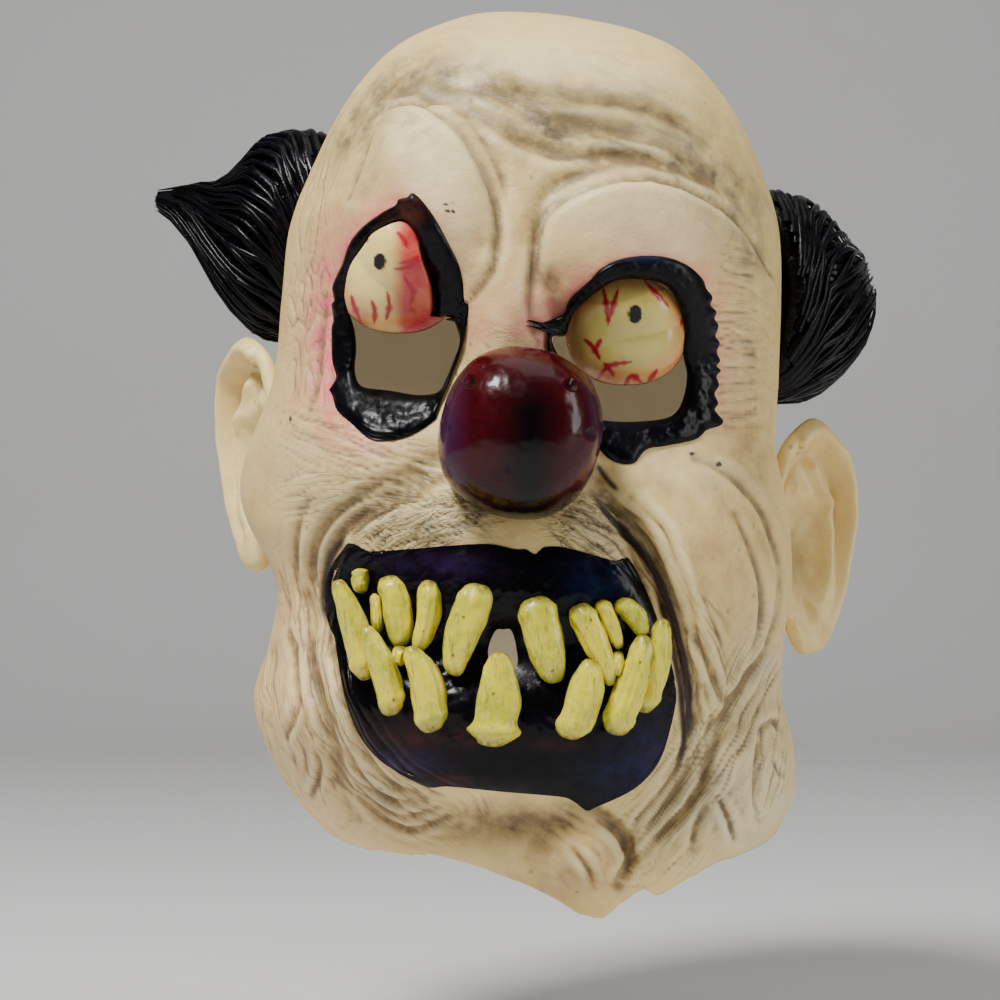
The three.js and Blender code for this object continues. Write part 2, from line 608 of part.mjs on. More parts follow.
function toothEgg({ root, tip, wide }, extra = 0) {
  const rootDepth = faceDepthAt(...root) - LIP_RAISE;
  const tipDepth = Math.min(rootDepth, faceDepthAt(...tip) - LIP_RAISE) - TOOTH_FLARE;
  const start = new THREE.Vector3(root[0] * MASK_HALF_WIDTH, rootDepth, heightOf(root[1]));
  const end = new THREE.Vector3(tip[0] * MASK_HALF_WIDTH, tipDepth, heightOf(tip[1]));
  const centre = start.clone().add(end).divideScalar(2);
  const along = end.clone().sub(start);
  const length = along.length() * TOOTH_FULLNESS;
  const width = wide * MASK_HALF_WIDTH * TOOTH_FULLNESS;
  const size = [width, TOOTH_THICKNESS, length].map((side) => side + 2 * extra);
  return egg(centre, size, { along: along.normalize(), around: 7, over: 5, squareness: 2.8 });
}

function makeTeeth() {
  const gums = filledHead(LIP_RAISE + SEAT_GAP, { overrun: NECK_OVERRUN });
  const made = [];
  const counts = { upper: 0, lower: 0 };
  for (const tooth of TEETH) {
    let solid = toothEgg(tooth).subtract(gums);
    for (const earlier of made) solid = solid.subtract(earlier.room);
    counts[tooth.row] += 1;
    made.push({
      name: `${tooth.row}_tooth_${counts[tooth.row]}`,
      solid: mainBody(solid),
      room: toothEgg(tooth, SEAT_GAP),
    });
  }
  return made;
}

// Rings of the ear from the middle of its bowl out over the rolled rim and round to its back. "from_middle"
// is a share of the ear's half width and height, "back" a share of the wall behind the front face.
const EAR_RINGS = [
  { from_middle: 0.25, back: 0 },
  { from_middle: 0.5, back: 0 },
  { from_middle: 0.68, back: 0 },
  { from_middle: 0.82, back: 0 },
  { from_middle: 0.93, back: 0 },
  { from_middle: 1.0, back: 0.35 },
  { from_middle: 0.97, back: 0.85 },
  { from_middle: 0.8, back: 1 },
  { from_middle: 0.45, back: 1 },
];
const EAR_AROUND = 18;
const LOBE_NARROWING = 0.22;

function earPoint(angle, fromMiddle, back) {
  const up = Math.sin(angle);
  const out = Math.cos(angle) * (1 + LOBE_NARROWING * up);
  const helix = EAR_HELIX * Math.exp(-(((fromMiddle - 0.88) / 0.12) ** 2)) * (0.6 + 0.4 * up);
  const antihelix = 0.5 * EAR_HELIX * Math.exp(-(((fromMiddle - 0.52) / 0.12) ** 2));
  const bowl = EAR_CUP * (1 - fromMiddle ** 2);
  const face = helix + antihelix - bowl - back * (EAR_WALL + helix);
  return new THREE.Vector3((out * fromMiddle * EAR_WIDTH) / 2, face, (up * fromMiddle * EAR_HEIGHT) / 2);
}

const EAR_SEATING = 0.16; // the share of the ear's width that starts inside the side of the head

function makeEar({ side, drop, sweep, tip, forward }) {
  const { middle, half } = sectionAt(drop);
  const root = new THREE.Vector3(middle + side * half, forward * FACE_DEPTH, heightOf(drop));
  const out = EAR_WIDTH * (0.5 - EAR_SEATING);
  const place = (point) => {
    const moved = new THREE.Vector3(side * (point.x + out), -point.y, point.z);
    moved.applyAxisAngle(new THREE.Vector3(0, 1, 0), side * THREE.MathUtils.degToRad(tip));
    moved.applyAxisAngle(new THREE.Vector3(0, 0, 1), side * THREE.MathUtils.degToRad(sweep));
    return moved.add(root);
  };
  const rings = EAR_RINGS.map(({ from_middle: fromMiddle, back }) =>
    Array.from({ length: EAR_AROUND }, (_, i) =>
      place(earPoint((2 * Math.PI * i) / EAR_AROUND, fromMiddle, back)),
    ),
  );
  return ringSolid(place(earPoint(0, 0, 0)), rings, place(earPoint(0, 0, 1))).subtract(seat);
}

const TUFT_AROUND = 21;
const TUFT_STEPS = 6;
const LOCK_TWIST = 1.1; // how far the locks wind round the tuft from root to tip, in radians

function makeTuft({ side, drop, set_back: setBack, sweep, stations }) {
  const { middle, half } = sectionAt(drop);
  const root = new THREE.Vector3(middle + side * half, setBack * SKULL_DEPTH, heightOf(drop));
  const knots = stations.map((row) => row.out);
  const column = (name) => smoothColumn(knots, stations.map((row) => row[name]));
  const [rise, tall, deep] = ["rise", "tall", "deep"].map(column);
  const place = (out, back, up) => {
    const moved = new THREE.Vector3(side * out, back, up);
    moved.applyAxisAngle(new THREE.Vector3(0, 0, 1), side * THREE.MathUtils.degToRad(sweep));
    return moved.add(root);
  };
  const ring = (share, reach) =>
    Array.from({ length: TUFT_AROUND }, (_, i) => {
      const angle = (2 * Math.PI * i) / TUFT_AROUND;
      const lock = 1 - LOCK_DEPTH * (0.5 + 0.5 * Math.cos(LOCKS * angle + LOCK_TWIST * share * LOCKS));
      const back = Math.cos(angle) * deep(share) * TUFT_HALF_DEPTH * lock;
      const up = (rise(share) + Math.sin(angle) * tall(share) * lock) * TUFT_HALF_HEIGHT;
      return place(reach, back, up);
    });
  const rings = [ring(0, -TUFT_ROOT)];
  const lastShare = knots.at(-1);
  for (let step = 0; step <= TUFT_STEPS; step++) {
    const share = (step / TUFT_STEPS) * lastShare;
    rings.push(ring(share, share * TUFT_REACH));
  }
  const tip = place(TUFT_REACH, 0, rise(lastShare) * TUFT_HALF_HEIGHT);
  return mainBody(ringSolid(meanPoint(rings[0]), rings, tip).subtract(seat));
}

const latex = new THREE.MeshStandardMaterial({ color: 0xe9dfc0, roughness: 0.62, metalness: 0 });
const blackPaint = new THREE.MeshStandardMaterial({ color: 0x0b0a10, roughness: 0.28, metalness: 0 });
const maroonGloss = new THREE.MeshStandardMaterial({ color: 0x3a0708, roughness: 0.14, metalness: 0 });
const eyeWhite = new THREE.MeshStandardMaterial({ color: 0xd9c98a, roughness: 0.3, metalness: 0 });
const toothYellow = new THREE.MeshStandardMaterial({ color: 0xd3cc55, roughness: 0.4, metalness: 0 });

const mask = new THREE.Group();
mask.name = "clown_mask";

function add(name, solid, material) {
  mask.add(meshFrom(name, solid, material));
}

add("mask_shell", makeShell(), latex);
add("mouth", makeMouth(), blackPaint);

const rims = {
  left_eye_rim: [LEFT_RIM_OUTLINE, LEFT_EYE_OPENING],
  right_eye_rim: [RIGHT_RIM_OUTLINE, RIGHT_EYE_OPENING],
};
const rimsWithGap = {};
for (const [name, outlines] of Object.entries(rims)) {
  add(name, makeEyeRim(...outlines), blackPaint);
  rimsWithGap[name] = makeEyeRim(...outlines, SEAT_GAP);
}
for (const [name, eyeball] of Object.entries(EYEBALLS)) {
  add(name, makeEyeball(eyeball, rimsWithGap[eyeball.rim]), eyeWhite);
}
add("nose", makeNose(Object.values(rimsWithGap)), maroonGloss);
for (const { name, solid } of makeTeeth()) add(name, solid, toothYellow);
for (const [name, ear] of Object.entries(EARS)) add(name, makeEar(ear), latex);
for (const [name, tuft] of Object.entries(TUFTS)) add(name, makeTuft(tuft), blackPaint);

export default mask;
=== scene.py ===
"""The looks of a full-head clown mask in thin cream latex.

It has a painted snarl, gloss-black eye rims and hair, yellow teeth, streaked eyeballs and a dark red nose.
The face looks along -Y, +X is the right of a person looking at it, and +Z is up. Blender works in metres, and
sizes here are in millimetres. A place on the face is a pair, right of the middle and down from the crown.
Where it was read off the picture it stays in the picture's pixels, as a Reading, until `on_face`
converts it.
"""

import logging
import math
from dataclasses import dataclass
from enum import Enum

import bmesh
import bpy
import numpy as np
from mathutils import Matrix, Vector


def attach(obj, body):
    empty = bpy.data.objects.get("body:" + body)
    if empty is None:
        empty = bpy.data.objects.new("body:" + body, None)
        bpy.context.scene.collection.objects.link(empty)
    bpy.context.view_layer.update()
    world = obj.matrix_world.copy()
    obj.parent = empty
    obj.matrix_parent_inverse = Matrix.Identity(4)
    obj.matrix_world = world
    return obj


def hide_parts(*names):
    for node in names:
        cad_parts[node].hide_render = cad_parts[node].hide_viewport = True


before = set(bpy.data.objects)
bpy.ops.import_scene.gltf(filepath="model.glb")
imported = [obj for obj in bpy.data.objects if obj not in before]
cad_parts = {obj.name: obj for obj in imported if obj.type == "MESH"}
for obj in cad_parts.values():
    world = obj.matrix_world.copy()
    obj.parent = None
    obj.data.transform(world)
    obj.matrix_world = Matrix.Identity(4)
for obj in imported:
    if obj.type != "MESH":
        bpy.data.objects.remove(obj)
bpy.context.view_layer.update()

LOG = logging.getLogger("clown_mask")
MM = 0.001
ROOT = "root"

Place = tuple[float, float]
Line = tuple[Place, ...]
Reading = tuple[Place, ...]  # places in the picture's pixels: column, row
Colour = tuple[float, float, float]

# the picture's column at the mask's own middle, its row at the crown, and the size of a pixel on the face
MIDDLE_COLUMN = 531.1
CROWN_ROW = -38.2
PIXEL = 0.3105


def on_face(reading: Reading) -> Line:
    """Turns places read off the picture into millimetres right of the middle and down from the crown."""
    return tuple(((column - MIDDLE_COLUMN) * PIXEL, (row - CROWN_ROW) * PIXEL) for column, row in reading)


# Curves and noise


def hermite(knots: np.ndarray, values: np.ndarray, at: np.ndarray) -> np.ndarray:
    """Reads a smooth curve through a table's rows.

    Args:
        knots: The rows' places, rising.
        values: The rows' values.
        at: Where to read the curve.

    Returns:
        The curve's value at each place.
    """
    row = np.clip(np.searchsorted(knots, at, side="right") - 1, 0, len(knots) - 2)
    slopes = np.gradient(values, knots)
    step = knots[row + 1] - knots[row]
    t = np.clip((at - knots[row]) / step, 0, 1)
    rise = t * t * (3 - 2 * t)
    pulls = t * (1 - t) ** 2 * step * slopes[row] - t * t * (1 - t) * step * slopes[row + 1]
    return values[row] + (values[row + 1] - values[row]) * rise + pulls


def smooth_line(points: Line, samples: int) -> np.ndarray:
    """Samples a smooth open curve through points.

    Args:
        points: The points, in millimetres.
        samples: How many samples to take.

    Returns:
        An array of samples by two.
    """
    table = np.array(points, float)
    knots = np.arange(len(table), dtype=float)
    at = np.linspace(0, len(table) - 1, samples)
    return np.stack([hermite(knots, table[:, 0], at), hermite(knots, table[:, 1], at)], 1)


def smooth_loop(points: Line, samples: int) -> np.ndarray:
    """Samples a smooth closed curve through points, evenly along its length.

    Args:
        points: The points round the loop, in millimetres.
        samples: How many samples to take.

    Returns:
        An array of samples by two, with the first point not repeated.
    """
    wrapped = points[-3:] + points + points[:4]
    table = np.array(wrapped, float)
    knots = np.arange(len(table), dtype=float)
    at = np.linspace(3, 3 + len(points), 12 * len(points) + 1)
    dense = np.stack([hermite(knots, table[:, 0], at), hermite(knots, table[:, 1], at)], 1)
    length = np.concatenate([[0], np.cumsum(steps_of(dense))])
    even = np.linspace(0, length[-1], samples, endpoint=False)
    return np.stack([np.interp(even, length, dense[:, 0]), np.interp(even, length, dense[:, 1])], 1)


def steps_of(line: np.ndarray) -> np.ndarray:
    """Gives the length of each step along a line."""
    return np.linalg.norm(np.diff(line, axis=0), axis=1)


def hill(value: np.ndarray, middle: float, width: float, power: float = 2) -> np.ndarray:
    """Rises to 1 at the middle and falls off on both sides."""
    return np.exp(-(np.abs((value - middle) / width) ** power))


def mound(
    x: np.ndarray, down: np.ndarray, at: Place, half: Place, lean: float = 0, flat: float = 1
) -> np.ndarray:
    """Rises to 1 at a place and falls off all round it.

    Args:
        x: Millimetres right of the middle.
        down: Millimetres down from the crown.
        at: The place, in millimetres.
        half: The half sizes along and across.
        lean: How far it leans, in degrees.
        flat: More than 1 for a flatter top.

    Returns:
        The height, from 0 to 1.
    """
    cosine, sine = math.cos(math.radians(lean)), math.sin(math.radians(lean))
    dx, dv = x - at[0], down - at[1]
    reach = ((dx * cosine + dv * sine) / half[0]) ** 2 + ((dv * cosine - dx * sine) / half[1]) ** 2
    return np.exp(-(reach**flat))


def gradient_noise(x: np.ndarray, y: np.ndarray, seed: int) -> np.ndarray:
    """Smooth random noise on a plane.

    Args:
        x: Places along the first axis, one unit to a wave.
        y: Places along the second axis.
        seed: Which noise.

    Returns:
        Values from about -1 to 1.
    """
    turns = np.random.default_rng(seed).random((64, 64)) * 2 * np.pi
    east, north = np.cos(turns), np.sin(turns)
    left, low = np.floor(x).astype(int), np.floor(y).astype(int)
    dx, dy = x - left, y - low

    def corner(i: int, j: int) -> np.ndarray:
        """The pull of one corner of the cell."""
        a, b = (left + i) % 64, (low + j) % 64
        return east[a, b] * (dx - i) + north[a, b] * (dy - j)

    u = dx**3 * (dx * (dx * 6 - 15) + 10)
    v = dy**3 * (dy * (dy * 6 - 15) + 10)
    near = corner(0, 0) * (1 - u) + corner(1, 0) * u
    far = corner(0, 1) * (1 - u) + corner(1, 1) * u
    return (near * (1 - v) + far * v) * 1.5


def nearest(x: np.ndarray, v: np.ndarray, line: np.ndarray) -> tuple[np.ndarray, np.ndarray]:
    """Finds how far places lie from a line, and how far along it.

    Args:
        x: Millimetres right of the middle.
        v: Millimetres down from the crown.
        line: The line's points.

    Returns:
        The distance, negative on one side of the line, and the length along the line to the nearest point.
    """
    best = np.full(x.shape, 1e9)
    signed = np.zeros(x.shape)
    along = np.zeros(x.shape)
    run = 0.0
    for start, end in zip(line[:-1], line[1:]):
        edge = end - start
        length = max(float(np.hypot(*edge)), 1e-9)
        t = np.clip(((x - start[0]) * edge[0] + (v - start[1]) * edge[1]) / length**2, 0, 1)
        away_x, away_v = x - start[0] - t * edge[0], v - start[1] - t * edge[1]
        distance = np.hypot(away_x, away_v)
        side = np.sign(edge[0] * away_v - edge[1] * away_x)
        closer = distance < best
        best = np.where(closer, distance, best)
        signed = np.where(closer, distance * np.where(side == 0, 1, side), signed)
        along = np.where(closer, run + t * length, along)
        run += length
    return signed, along


class Guide:
    """A smooth line on the face."""

    def __init__(self, points: Line, samples: int = 20) -> None:
        """Lays the line through its points."""
        self.line = smooth_line(points, samples)
        self.length = float(steps_of(self.line).sum())

    def box(self, x: np.ndarray, down: np.ndarray, reach: float) -> np.ndarray:
        """Says which places lie within reach of the line's box."""
        low, high = self.line.min(0) - reach, self.line.max(0) + reach
        return (x > low[0]) & (x < high[0]) & (down > low[1]) & (down < high[1])

    def measure(self, x: np.ndarray, down: np.ndarray) -> tuple[np.ndarray, np.ndarray]:
        """Gives the signed distance from the line and the share of the way along it."""
        signed, along = nearest(x, down, self.line)
        return signed, along / self.length


def inside_loop(x: np.ndarray, v: np.ndarray, loop: np.ndarray) -> np.ndarray:
    """Says which places lie inside a closed line.

    Args:
        x: Millimetres right of the middle.
        v: Millimetres down from the crown.
        loop: The closed line's points.

    Returns:
        True for each place inside.
    """
    inside = np.zeros(x.shape, bool)
    for (x0, v0), (x1, v1) in zip(loop, np.roll(loop, -1, axis=0)):
        crosses = (v0 > v) != (v1 > v)
        reach = x0 + (v - v0) * (x1 - x0) / (v1 - v0 if v1 != v0 else 1e-9)
        inside ^= crosses & (x < reach)
    return inside


# The form of the head


@dataclass(frozen=True)
class HeadSize:
    """The mask's own sizes, in millimetres."""

    height: float = 300
    half_width: float = 93
    face: float = 100
    skull: float = 108
    wall: float = 2.5
    oval: float = 2.3


# drop, middle, half, front, back: shares of the mask's height, half width, face and skull depth
SECTIONS = (
    (0.000, -0.13, 0.00, 0.00, 0.00),
    (0.015, -0.03, 0.29, 0.30, 0.33),
    (0.045, 0.02, 0.52, 0.56, 0.56),
    (0.10, 0.03, 0.69, 0.78, 0.77),
    (0.17, 0.03, 0.81, 0.89, 0.90),
    (0.25, 0.02, 0.90, 0.92, 0.97),
    (0.33, 0.01, 0.92, 0.91, 1.00),
    (0.42, -0.01, 0.93, 0.92, 0.98),
    (0.50, -0.05, 0.96, 0.94, 0.93),
    (0.58, -0.02, 0.98, 0.97, 0.86),
    (0.66, 0.02, 0.945, 1.00, 0.80),
    (0.72, -0.01, 0.945, 1.02, 0.78),
    (0.78, -0.04, 0.97, 1.02, 0.76),
    (0.84, 0.01, 0.965, 0.99, 0.75),
    (0.90, 0.065, 0.90, 0.94, 0.70),
    (0.94, 0.10, 0.78, 0.90, 0.62),
    (0.97, 0.16, 0.60, 0.87, 0.52),
    (1.02, 0.20, 0.30, 0.84, 0.40),
)

# turn from the nose in degrees, drop as a share of the height
LOWER_EDGE = (
    (-180, 0.81),
    (-140, 0.825),
    (-110, 0.87),
    (-90, 0.91),
    (-68, 0.936),
    (-40, 0.933),
    (-19, 0.942),
    (-9, 0.965),
    (-2, 0.988),
    (6, 0.995),
    (12, 0.98),
    (18, 0.968),
    (25, 0.975),
    (39, 0.948),
    (60, 0.935),
    (90, 0.91),
    (110, 0.87),
    (140, 0.825),
    (180, 0.81),
)


@dataclass(frozen=True)
class Swelling:
    """A mound or hollow of the face: its place, half sizes, lean in degrees and height, in millimetres."""

    right: float
    down: float
    wide: float
    high: float
    out: float
    lean: float = 0
    flat: int = 1


@dataclass(frozen=True)
class Fold:
    """A fold or crease along a line: its half width and height, in millimetres."""

    line: Line
    reach: float
    out: float
    step: float = 0  # how far the side on the right of the line's run stands above the other


SWELLINGS = (
    Swelling(-41.3, 69.3, 30.7, 35.4, 12, -10, 2),
    Swelling(38.5, 89.4, 37.2, 27.0, 12, 10, 2),
    Swelling(-7.2, 108, 11.2, 24.9, 10),
    Swelling(-40.7, 117.3, 19.5, 23.4, -10),
    Swelling(33.9, 125.1, 23.3, 19.2, -10),
    Swelling(-60.9, 153, 27.9, 15.6, 7),
    Swelling(60.2, 189, 23.3, 37.2, 7, 0, 2),
    Swelling(-34.5, 171.9, 24.8, 9.9, 6),
    Swelling(16.7, 174.9, 18.6, 9.9, 6),
    Swelling(-10.6, 219.9, 58.6, 43.5, 8, 0, 2),
    Swelling(-74.9, 237, 17.7, 24.9, 10),
    Swelling(72.6, 260.4, 18.6, 20.1, 10),
    Swelling(16.7, 282, 17.7, 15.6, 8),
    Swelling(-9.3, 266.4, 27.9, 9, -6),
)
FOLDS = (
    Fold(
        ((-63.2, 55.2), (-51.1, 38.1), (-34.4, 36), (-19.5, 49.2), (-10.9, 67.8), (-12.7, 86.4)), 5.2, -5.5
    ),
    Fold(
        ((3.5, 98), (2.2, 90), (3.3, 77.7), (10.5, 68.4), (29.1, 61.8), (51.5, 65.4), (67.9, 75)), 5.2,
        -5.5,
    ),
    Fold(((-29.6, 155.4), (-42.2, 164.7), (-59.3, 173.4), (-65.6, 184.2), (-67.4, 201)), 5.6, -5.5),
    Fold(
        ((20.7, 160.8), (27.6, 173.4), (36.3, 185.7), (43.2, 201.3), (48.4, 219.9), (50.2, 235.5)), 5.2,
        -7.5,
    ),
    Fold(((30.7, 160.2), (40, 173.4), (47.9, 190.5), (53.9, 210.6), (56.7, 229.2)), 6.5, 4),
    Fold(((-40.7, 26.7), (-19, 21.3), (-3.4, 29.1), (21.4, 35.1), (43.2, 36.6), (61.8, 55.2)), 7.5, 3.5),
    Fold(((-25.1, 31.5), (-8.1, 42), (2.8, 53.4), (21.4, 52.5), (46.2, 50.4), (64.8, 67.5)), 7.5, -4),
    Fold(((-53.9, 198), (-41.9, 208.5), (-23.3, 213), (0, 213.6), (18.6, 213), (35.3, 207)), 13, -8),
    Fold(((-70.7, 198), (-68.8, 226.2), (-59.5, 254.1), (-40.7, 272.7)), 7, -4),
    Fold(((74.2, 226.2), (58.6, 243.3), (49.3, 260.4), (33.9, 275.7)), 7, -4),
    Fold(((20.2, 263.7), (29.2, 271.1), (31.3, 280.4), (27.3, 288.2)), 3.2, -4),
)

# narrow creases with a soft lip on each side, each along a Reading
CREASES = (
    Fold(
        (
            (345, 190), (372, 118), (400, 95), (430, 105), (462, 135), (485, 180), (497, 225), (492, 268),
            (474, 292),
        ),
        1.4, -1.3, 1.7,
    ),
    Fold(
        (
            (536, 330), (530, 300), (537, 250), (548, 215), (580, 192), (640, 178), (700, 190), (745, 215),
            (785, 262),
        ),
        1.4, -1.3, 1.7,
    ),
    Fold(((395, 118), (397, 160), (400, 200)), 5, 2.6),
    Fold(((390, 70), (430, 85), (480, 80), (540, 110), (600, 120), (680, 140), (740, 185)), 2.4, -1.4),
    Fold(((400, 100), (450, 90), (500, 125), (560, 150), (640, 150), (710, 170)), 2.0, -1.2),
    Fold(((480, 55), (530, 90), (580, 100), (650, 100), (710, 130)), 2.4, -1.2),
    Fold(((598, 492), (628, 520), (655, 560), (675, 610), (690, 680), (690, 735)), 1.7, -2.0),
    Fold(((632, 500), (664, 530), (676, 562), (690, 605), (703, 650), (728, 705)), 1.5, -1.8),
    Fold(((690, 632), (708, 660), (728, 704)), 1.1, -1.6),
    Fold(
        ((700, 458), (742, 478), (772, 510), (792, 555), (797, 600), (788, 640), (760, 680), (735, 702)),
        1.6, -1.7,
    ),
    Fold(((735, 702), (715, 728), (698, 762), (675, 800), (645, 840)), 1.6, -2.0),
    Fold(((742, 515), (762, 560), (773, 602), (770, 640), (752, 678)), 1.3, -1.3),
    Fold(((790, 655), (752, 692), (722, 738), (705, 775), (690, 800)), 1.5, -1.8),
    Fold(((702, 690), (694, 740), (672, 785), (640, 825), (628, 850)), 1.5, -1.8),
    Fold(((718, 755), (700, 800), (668, 835), (640, 865)), 1.4, -1.6),
    Fold(((712, 800), (702, 826), (696, 856)), 1.5, -1.7),
    Fold(((722, 803), (734, 826), (740, 848)), 1.2, -1.4),
    Fold(((775, 738), (768, 770), (765, 800), (768, 832)), 1.4, -1.8),
    Fold(((772, 740), (790, 733), (803, 750)), 1.2, -1.2),
    Fold(((788, 770), (794, 785), (800, 790)), 1.0, -1.2),
    Fold(((440, 478), (400, 497), (360, 517), (335, 538), (321, 568), (317, 605), (326, 655)), 1.8, -2.0),
    Fold(((378, 486), (340, 507), (318, 532), (306, 562), (303, 602), (312, 645)), 1.6, -1.8),
    Fold(((352, 545), (338, 555), (330, 575), (327, 600)), 1.2, -1.5),
    Fold(((300, 500), (288, 530), (285, 570), (292, 610)), 1.5, -1.5),
    Fold(((296, 600), (303, 655), (318, 705), (330, 755), (338, 800), (352, 830)), 1.8, -2.0),
    Fold(((326, 640), (338, 690), (356, 740), (384, 785), (425, 803)), 1.3, -1.5),
    Fold(((320, 670), (334, 725), (352, 770), (380, 802), (424, 808)), 1.1, -1.3),
    Fold(((322, 720), (340, 768), (366, 806), (400, 824), (436, 812)), 1.1, -1.4),
    Fold(((330, 760), (350, 800), (378, 826), (412, 836), (446, 822)), 1.2, -1.4),
    Fold(((291, 686), (289, 716), (279, 746)), 1.2, -1.6),
    Fold(((278, 640), (286, 664), (287, 690)), 1.2, -1.2),
    Fold(((314, 758), (312, 785), (302, 810)), 1.2, -1.6),
    Fold(((262, 650), (258, 690), (262, 725)), 1.4, -1.0),
    Fold(((318, 290), (312, 330), (308, 380), (296, 415)), 1.6, -1.6),
    Fold(((604, 500), (640, 520), (660, 548)), 1.3, -1.0),
    Fold(((600, 818), (621, 836), (631, 862), (619, 888)), 1.5, -1.8),
    Fold(((574, 850), (588, 870), (596, 890)), 1.2, -1.2),
)


class HeadForm:
    """The head's plain form, before its wrinkles."""

    def __init__(self, size: HeadSize) -> None:
        """Keeps the sizes and reads the tables."""
        self.size = size
        self.table = np.array(SECTIONS, float)
        self.knots = np.sqrt(self.table[:, 0])
        self.edge = np.array(LOWER_EDGE, float)
        self.guides = [Guide(fold.line, 24) for fold in FOLDS]

    def section(self, down: np.ndarray) -> tuple[np.ndarray, ...]:
        """Gives the level section's middle, half width, front depth and back depth.

        Args:
            down: Millimetres down from the crown.

        Returns:
            The four sizes, in millimetres.
        """
        at = np.sqrt(np.maximum(down / self.size.height, 0))
        scales = (self.size.half_width, self.size.half_width, self.size.face, self.size.skull)
        columns = self.table[:, 1:].T
        return tuple(hermite(self.knots, column, at) * scale for column, scale in zip(columns, scales))

    def relief(self, x: np.ndarray, down: np.ndarray) -> np.ndarray:
        """Gives how far the face swells forwards, in millimetres."""
        out = np.zeros(x.shape)
        for item in SWELLINGS:
            at, half = (item.right, item.down), (item.wide, item.high)
            out += item.out * mound(x, down, at, half, item.lean, item.flat)
        for fold, guide in zip(FOLDS, self.guides):
            signed, share = guide.measure(x, down)
            share = np.clip(share, 0.06, 0.94)
            out += fold.out * np.sqrt(np.sin(np.pi * share)) * np.exp(-((signed / fold.reach) ** 2))
        return out

    def front(self, x: np.ndarray, down: np.ndarray) -> np.ndarray:
        """Gives the depth of the face's outer side at places on it, in millimetres along +Y."""
        middle, half, face, _ = self.section(down)
        sideways = np.clip(np.abs(x - middle) / np.maximum(half, 1e-6), 0, 1)
        plain = face * (1 - sideways**self.size.oval) ** (1 / self.size.oval)
        fade = (1 - sideways**6) * np.clip(down / (0.05 * self.size.height), 0, 1)
        return -(plain + self.relief(x, down) * fade)

    def lower_edge(self, turn: np.ndarray) -> np.ndarray:
        """Gives how far down the cut edge lies at each turn from the nose, in degrees."""
        return hermite(self.edge[:, 0], self.edge[:, 1], turn) * self.size.height

    def ring(self, turn: np.ndarray, down: np.ndarray) -> np.ndarray:
        """Gives points of the outer side.

        Args:
            turn: Radians from the nose, positive to the right.
            down: Millimetres down from the crown.

        Returns:
            The points, in millimetres.
        """
        middle, half, face, skull = self.section(down)
        sine, cosine = np.sin(turn), np.cos(turn)
        sideways = np.abs(sine) ** (2 / self.size.oval)
        lengthways = np.abs(cosine) ** (2 / self.size.oval)
        x = middle + np.maximum(half, 0) * np.sign(sine) * sideways
        fade = (1 - sideways**6) * np.clip(down / (0.05 * self.size.height), 0, 1)
        front = -(face * lengthways + self.relief(x, down) * fade)
        y = np.where(cosine > 0, front, skull * lengthways)
        return np.stack([x, y, self.size.wall - down], -1)

    def seat(self, points: np.ndarray, sink: float) -> np.ndarray:
        """Moves points that lie inside the head out to just under its outer side.

        Args:
            points: Points in millimetres.
            sink: How far under the outer side they end.

        Returns:
            The moved points.
        """
        down = self.size.wall - points[:, 2]
        middle, half, face, skull = self.section(down)
        depth = np.where(points[:, 1] < 0, face, skull) - sink
        across = (points[:, 0] - middle) / (half - sink)
        through = points[:, 1] / depth
        reach = (
            np.abs(across) ** self.size.oval + np.abs(through) ** self.size.oval
        ) ** (1 / self.size.oval)
        scale = np.where(reach < 1, 1 / np.maximum(reach, 0.05), 1)
        moved = points.copy()
        moved[:, 0] = middle + (points[:, 0] - middle) * scale
        moved[:, 1] = points[:, 1] * scale
        return moved


# Meshes


def make_mesh(
    name: str, points: np.ndarray, faces: list, values: dict[str, np.ndarray] | None = None
) -> bpy.types.Object:
    """Makes a smooth closed mesh object.

    Args:
        name: The object's name.
        points: Points in millimetres.
        faces: Lists of point numbers, seen from outside anticlockwise.
        values: Painted masks, one number for each point.

    Returns:
        The new object.
    """
    name = f"painted_{name}"
    mesh = bpy.data.meshes.new(name)
    mesh.from_pydata((np.asarray(points) * MM).tolist(), [], faces)
    for key, numbers in (values or {}).items():
        layer = mesh.attributes.new(key, "FLOAT", "POINT")
        kept = numbers if key.startswith("flow_") else np.clip(numbers, 0, 1)
        layer.data.foreach_set("value", kept.astype(np.float32))
    shape = bmesh.new()
    shape.from_mesh(mesh)
    if shape.calc_volume(signed=True) < 0:
        bmesh.ops.reverse_faces(shape, faces=shape.faces)
    open_edges = sum(len(edge.link_faces) != 2 for edge in shape.edges)
    shape.to_mesh(mesh)
    shape.free()
    mesh.shade_smooth()
    piece = bpy.data.objects.new(name, mesh)
    bpy.context.scene.collection.objects.link(piece)
    triangles = sum(len(face.vertices) - 2 for face in mesh.polygons)
    LOG.info("%s: %d triangles, %d open edges", name, triangles, open_edges)
    return piece


def dress(piece: bpy.types.Object, material: bpy.types.Material, nodes: tuple[str, ...]) -> None:
    """Gives a piece its material and tells the frame what it rides on and stands for.

    Args:
        piece: The object.
        material: Its material.
        nodes: The solids that it stands for.
    """
    piece.data.materials.clear()
    piece.data.materials.append(material)
    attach(piece, ROOT)
    if nodes:
        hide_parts(*nodes)


def turned(points: np.ndarray, about: int, angle: float) -> np.ndarray:
    """Turns points about Y (1) or Z (2), in radians."""
    axis = Vector((0, about == 1, about == 2))
    return points @ np.array(Matrix.Rotation(angle, 3, axis)).T


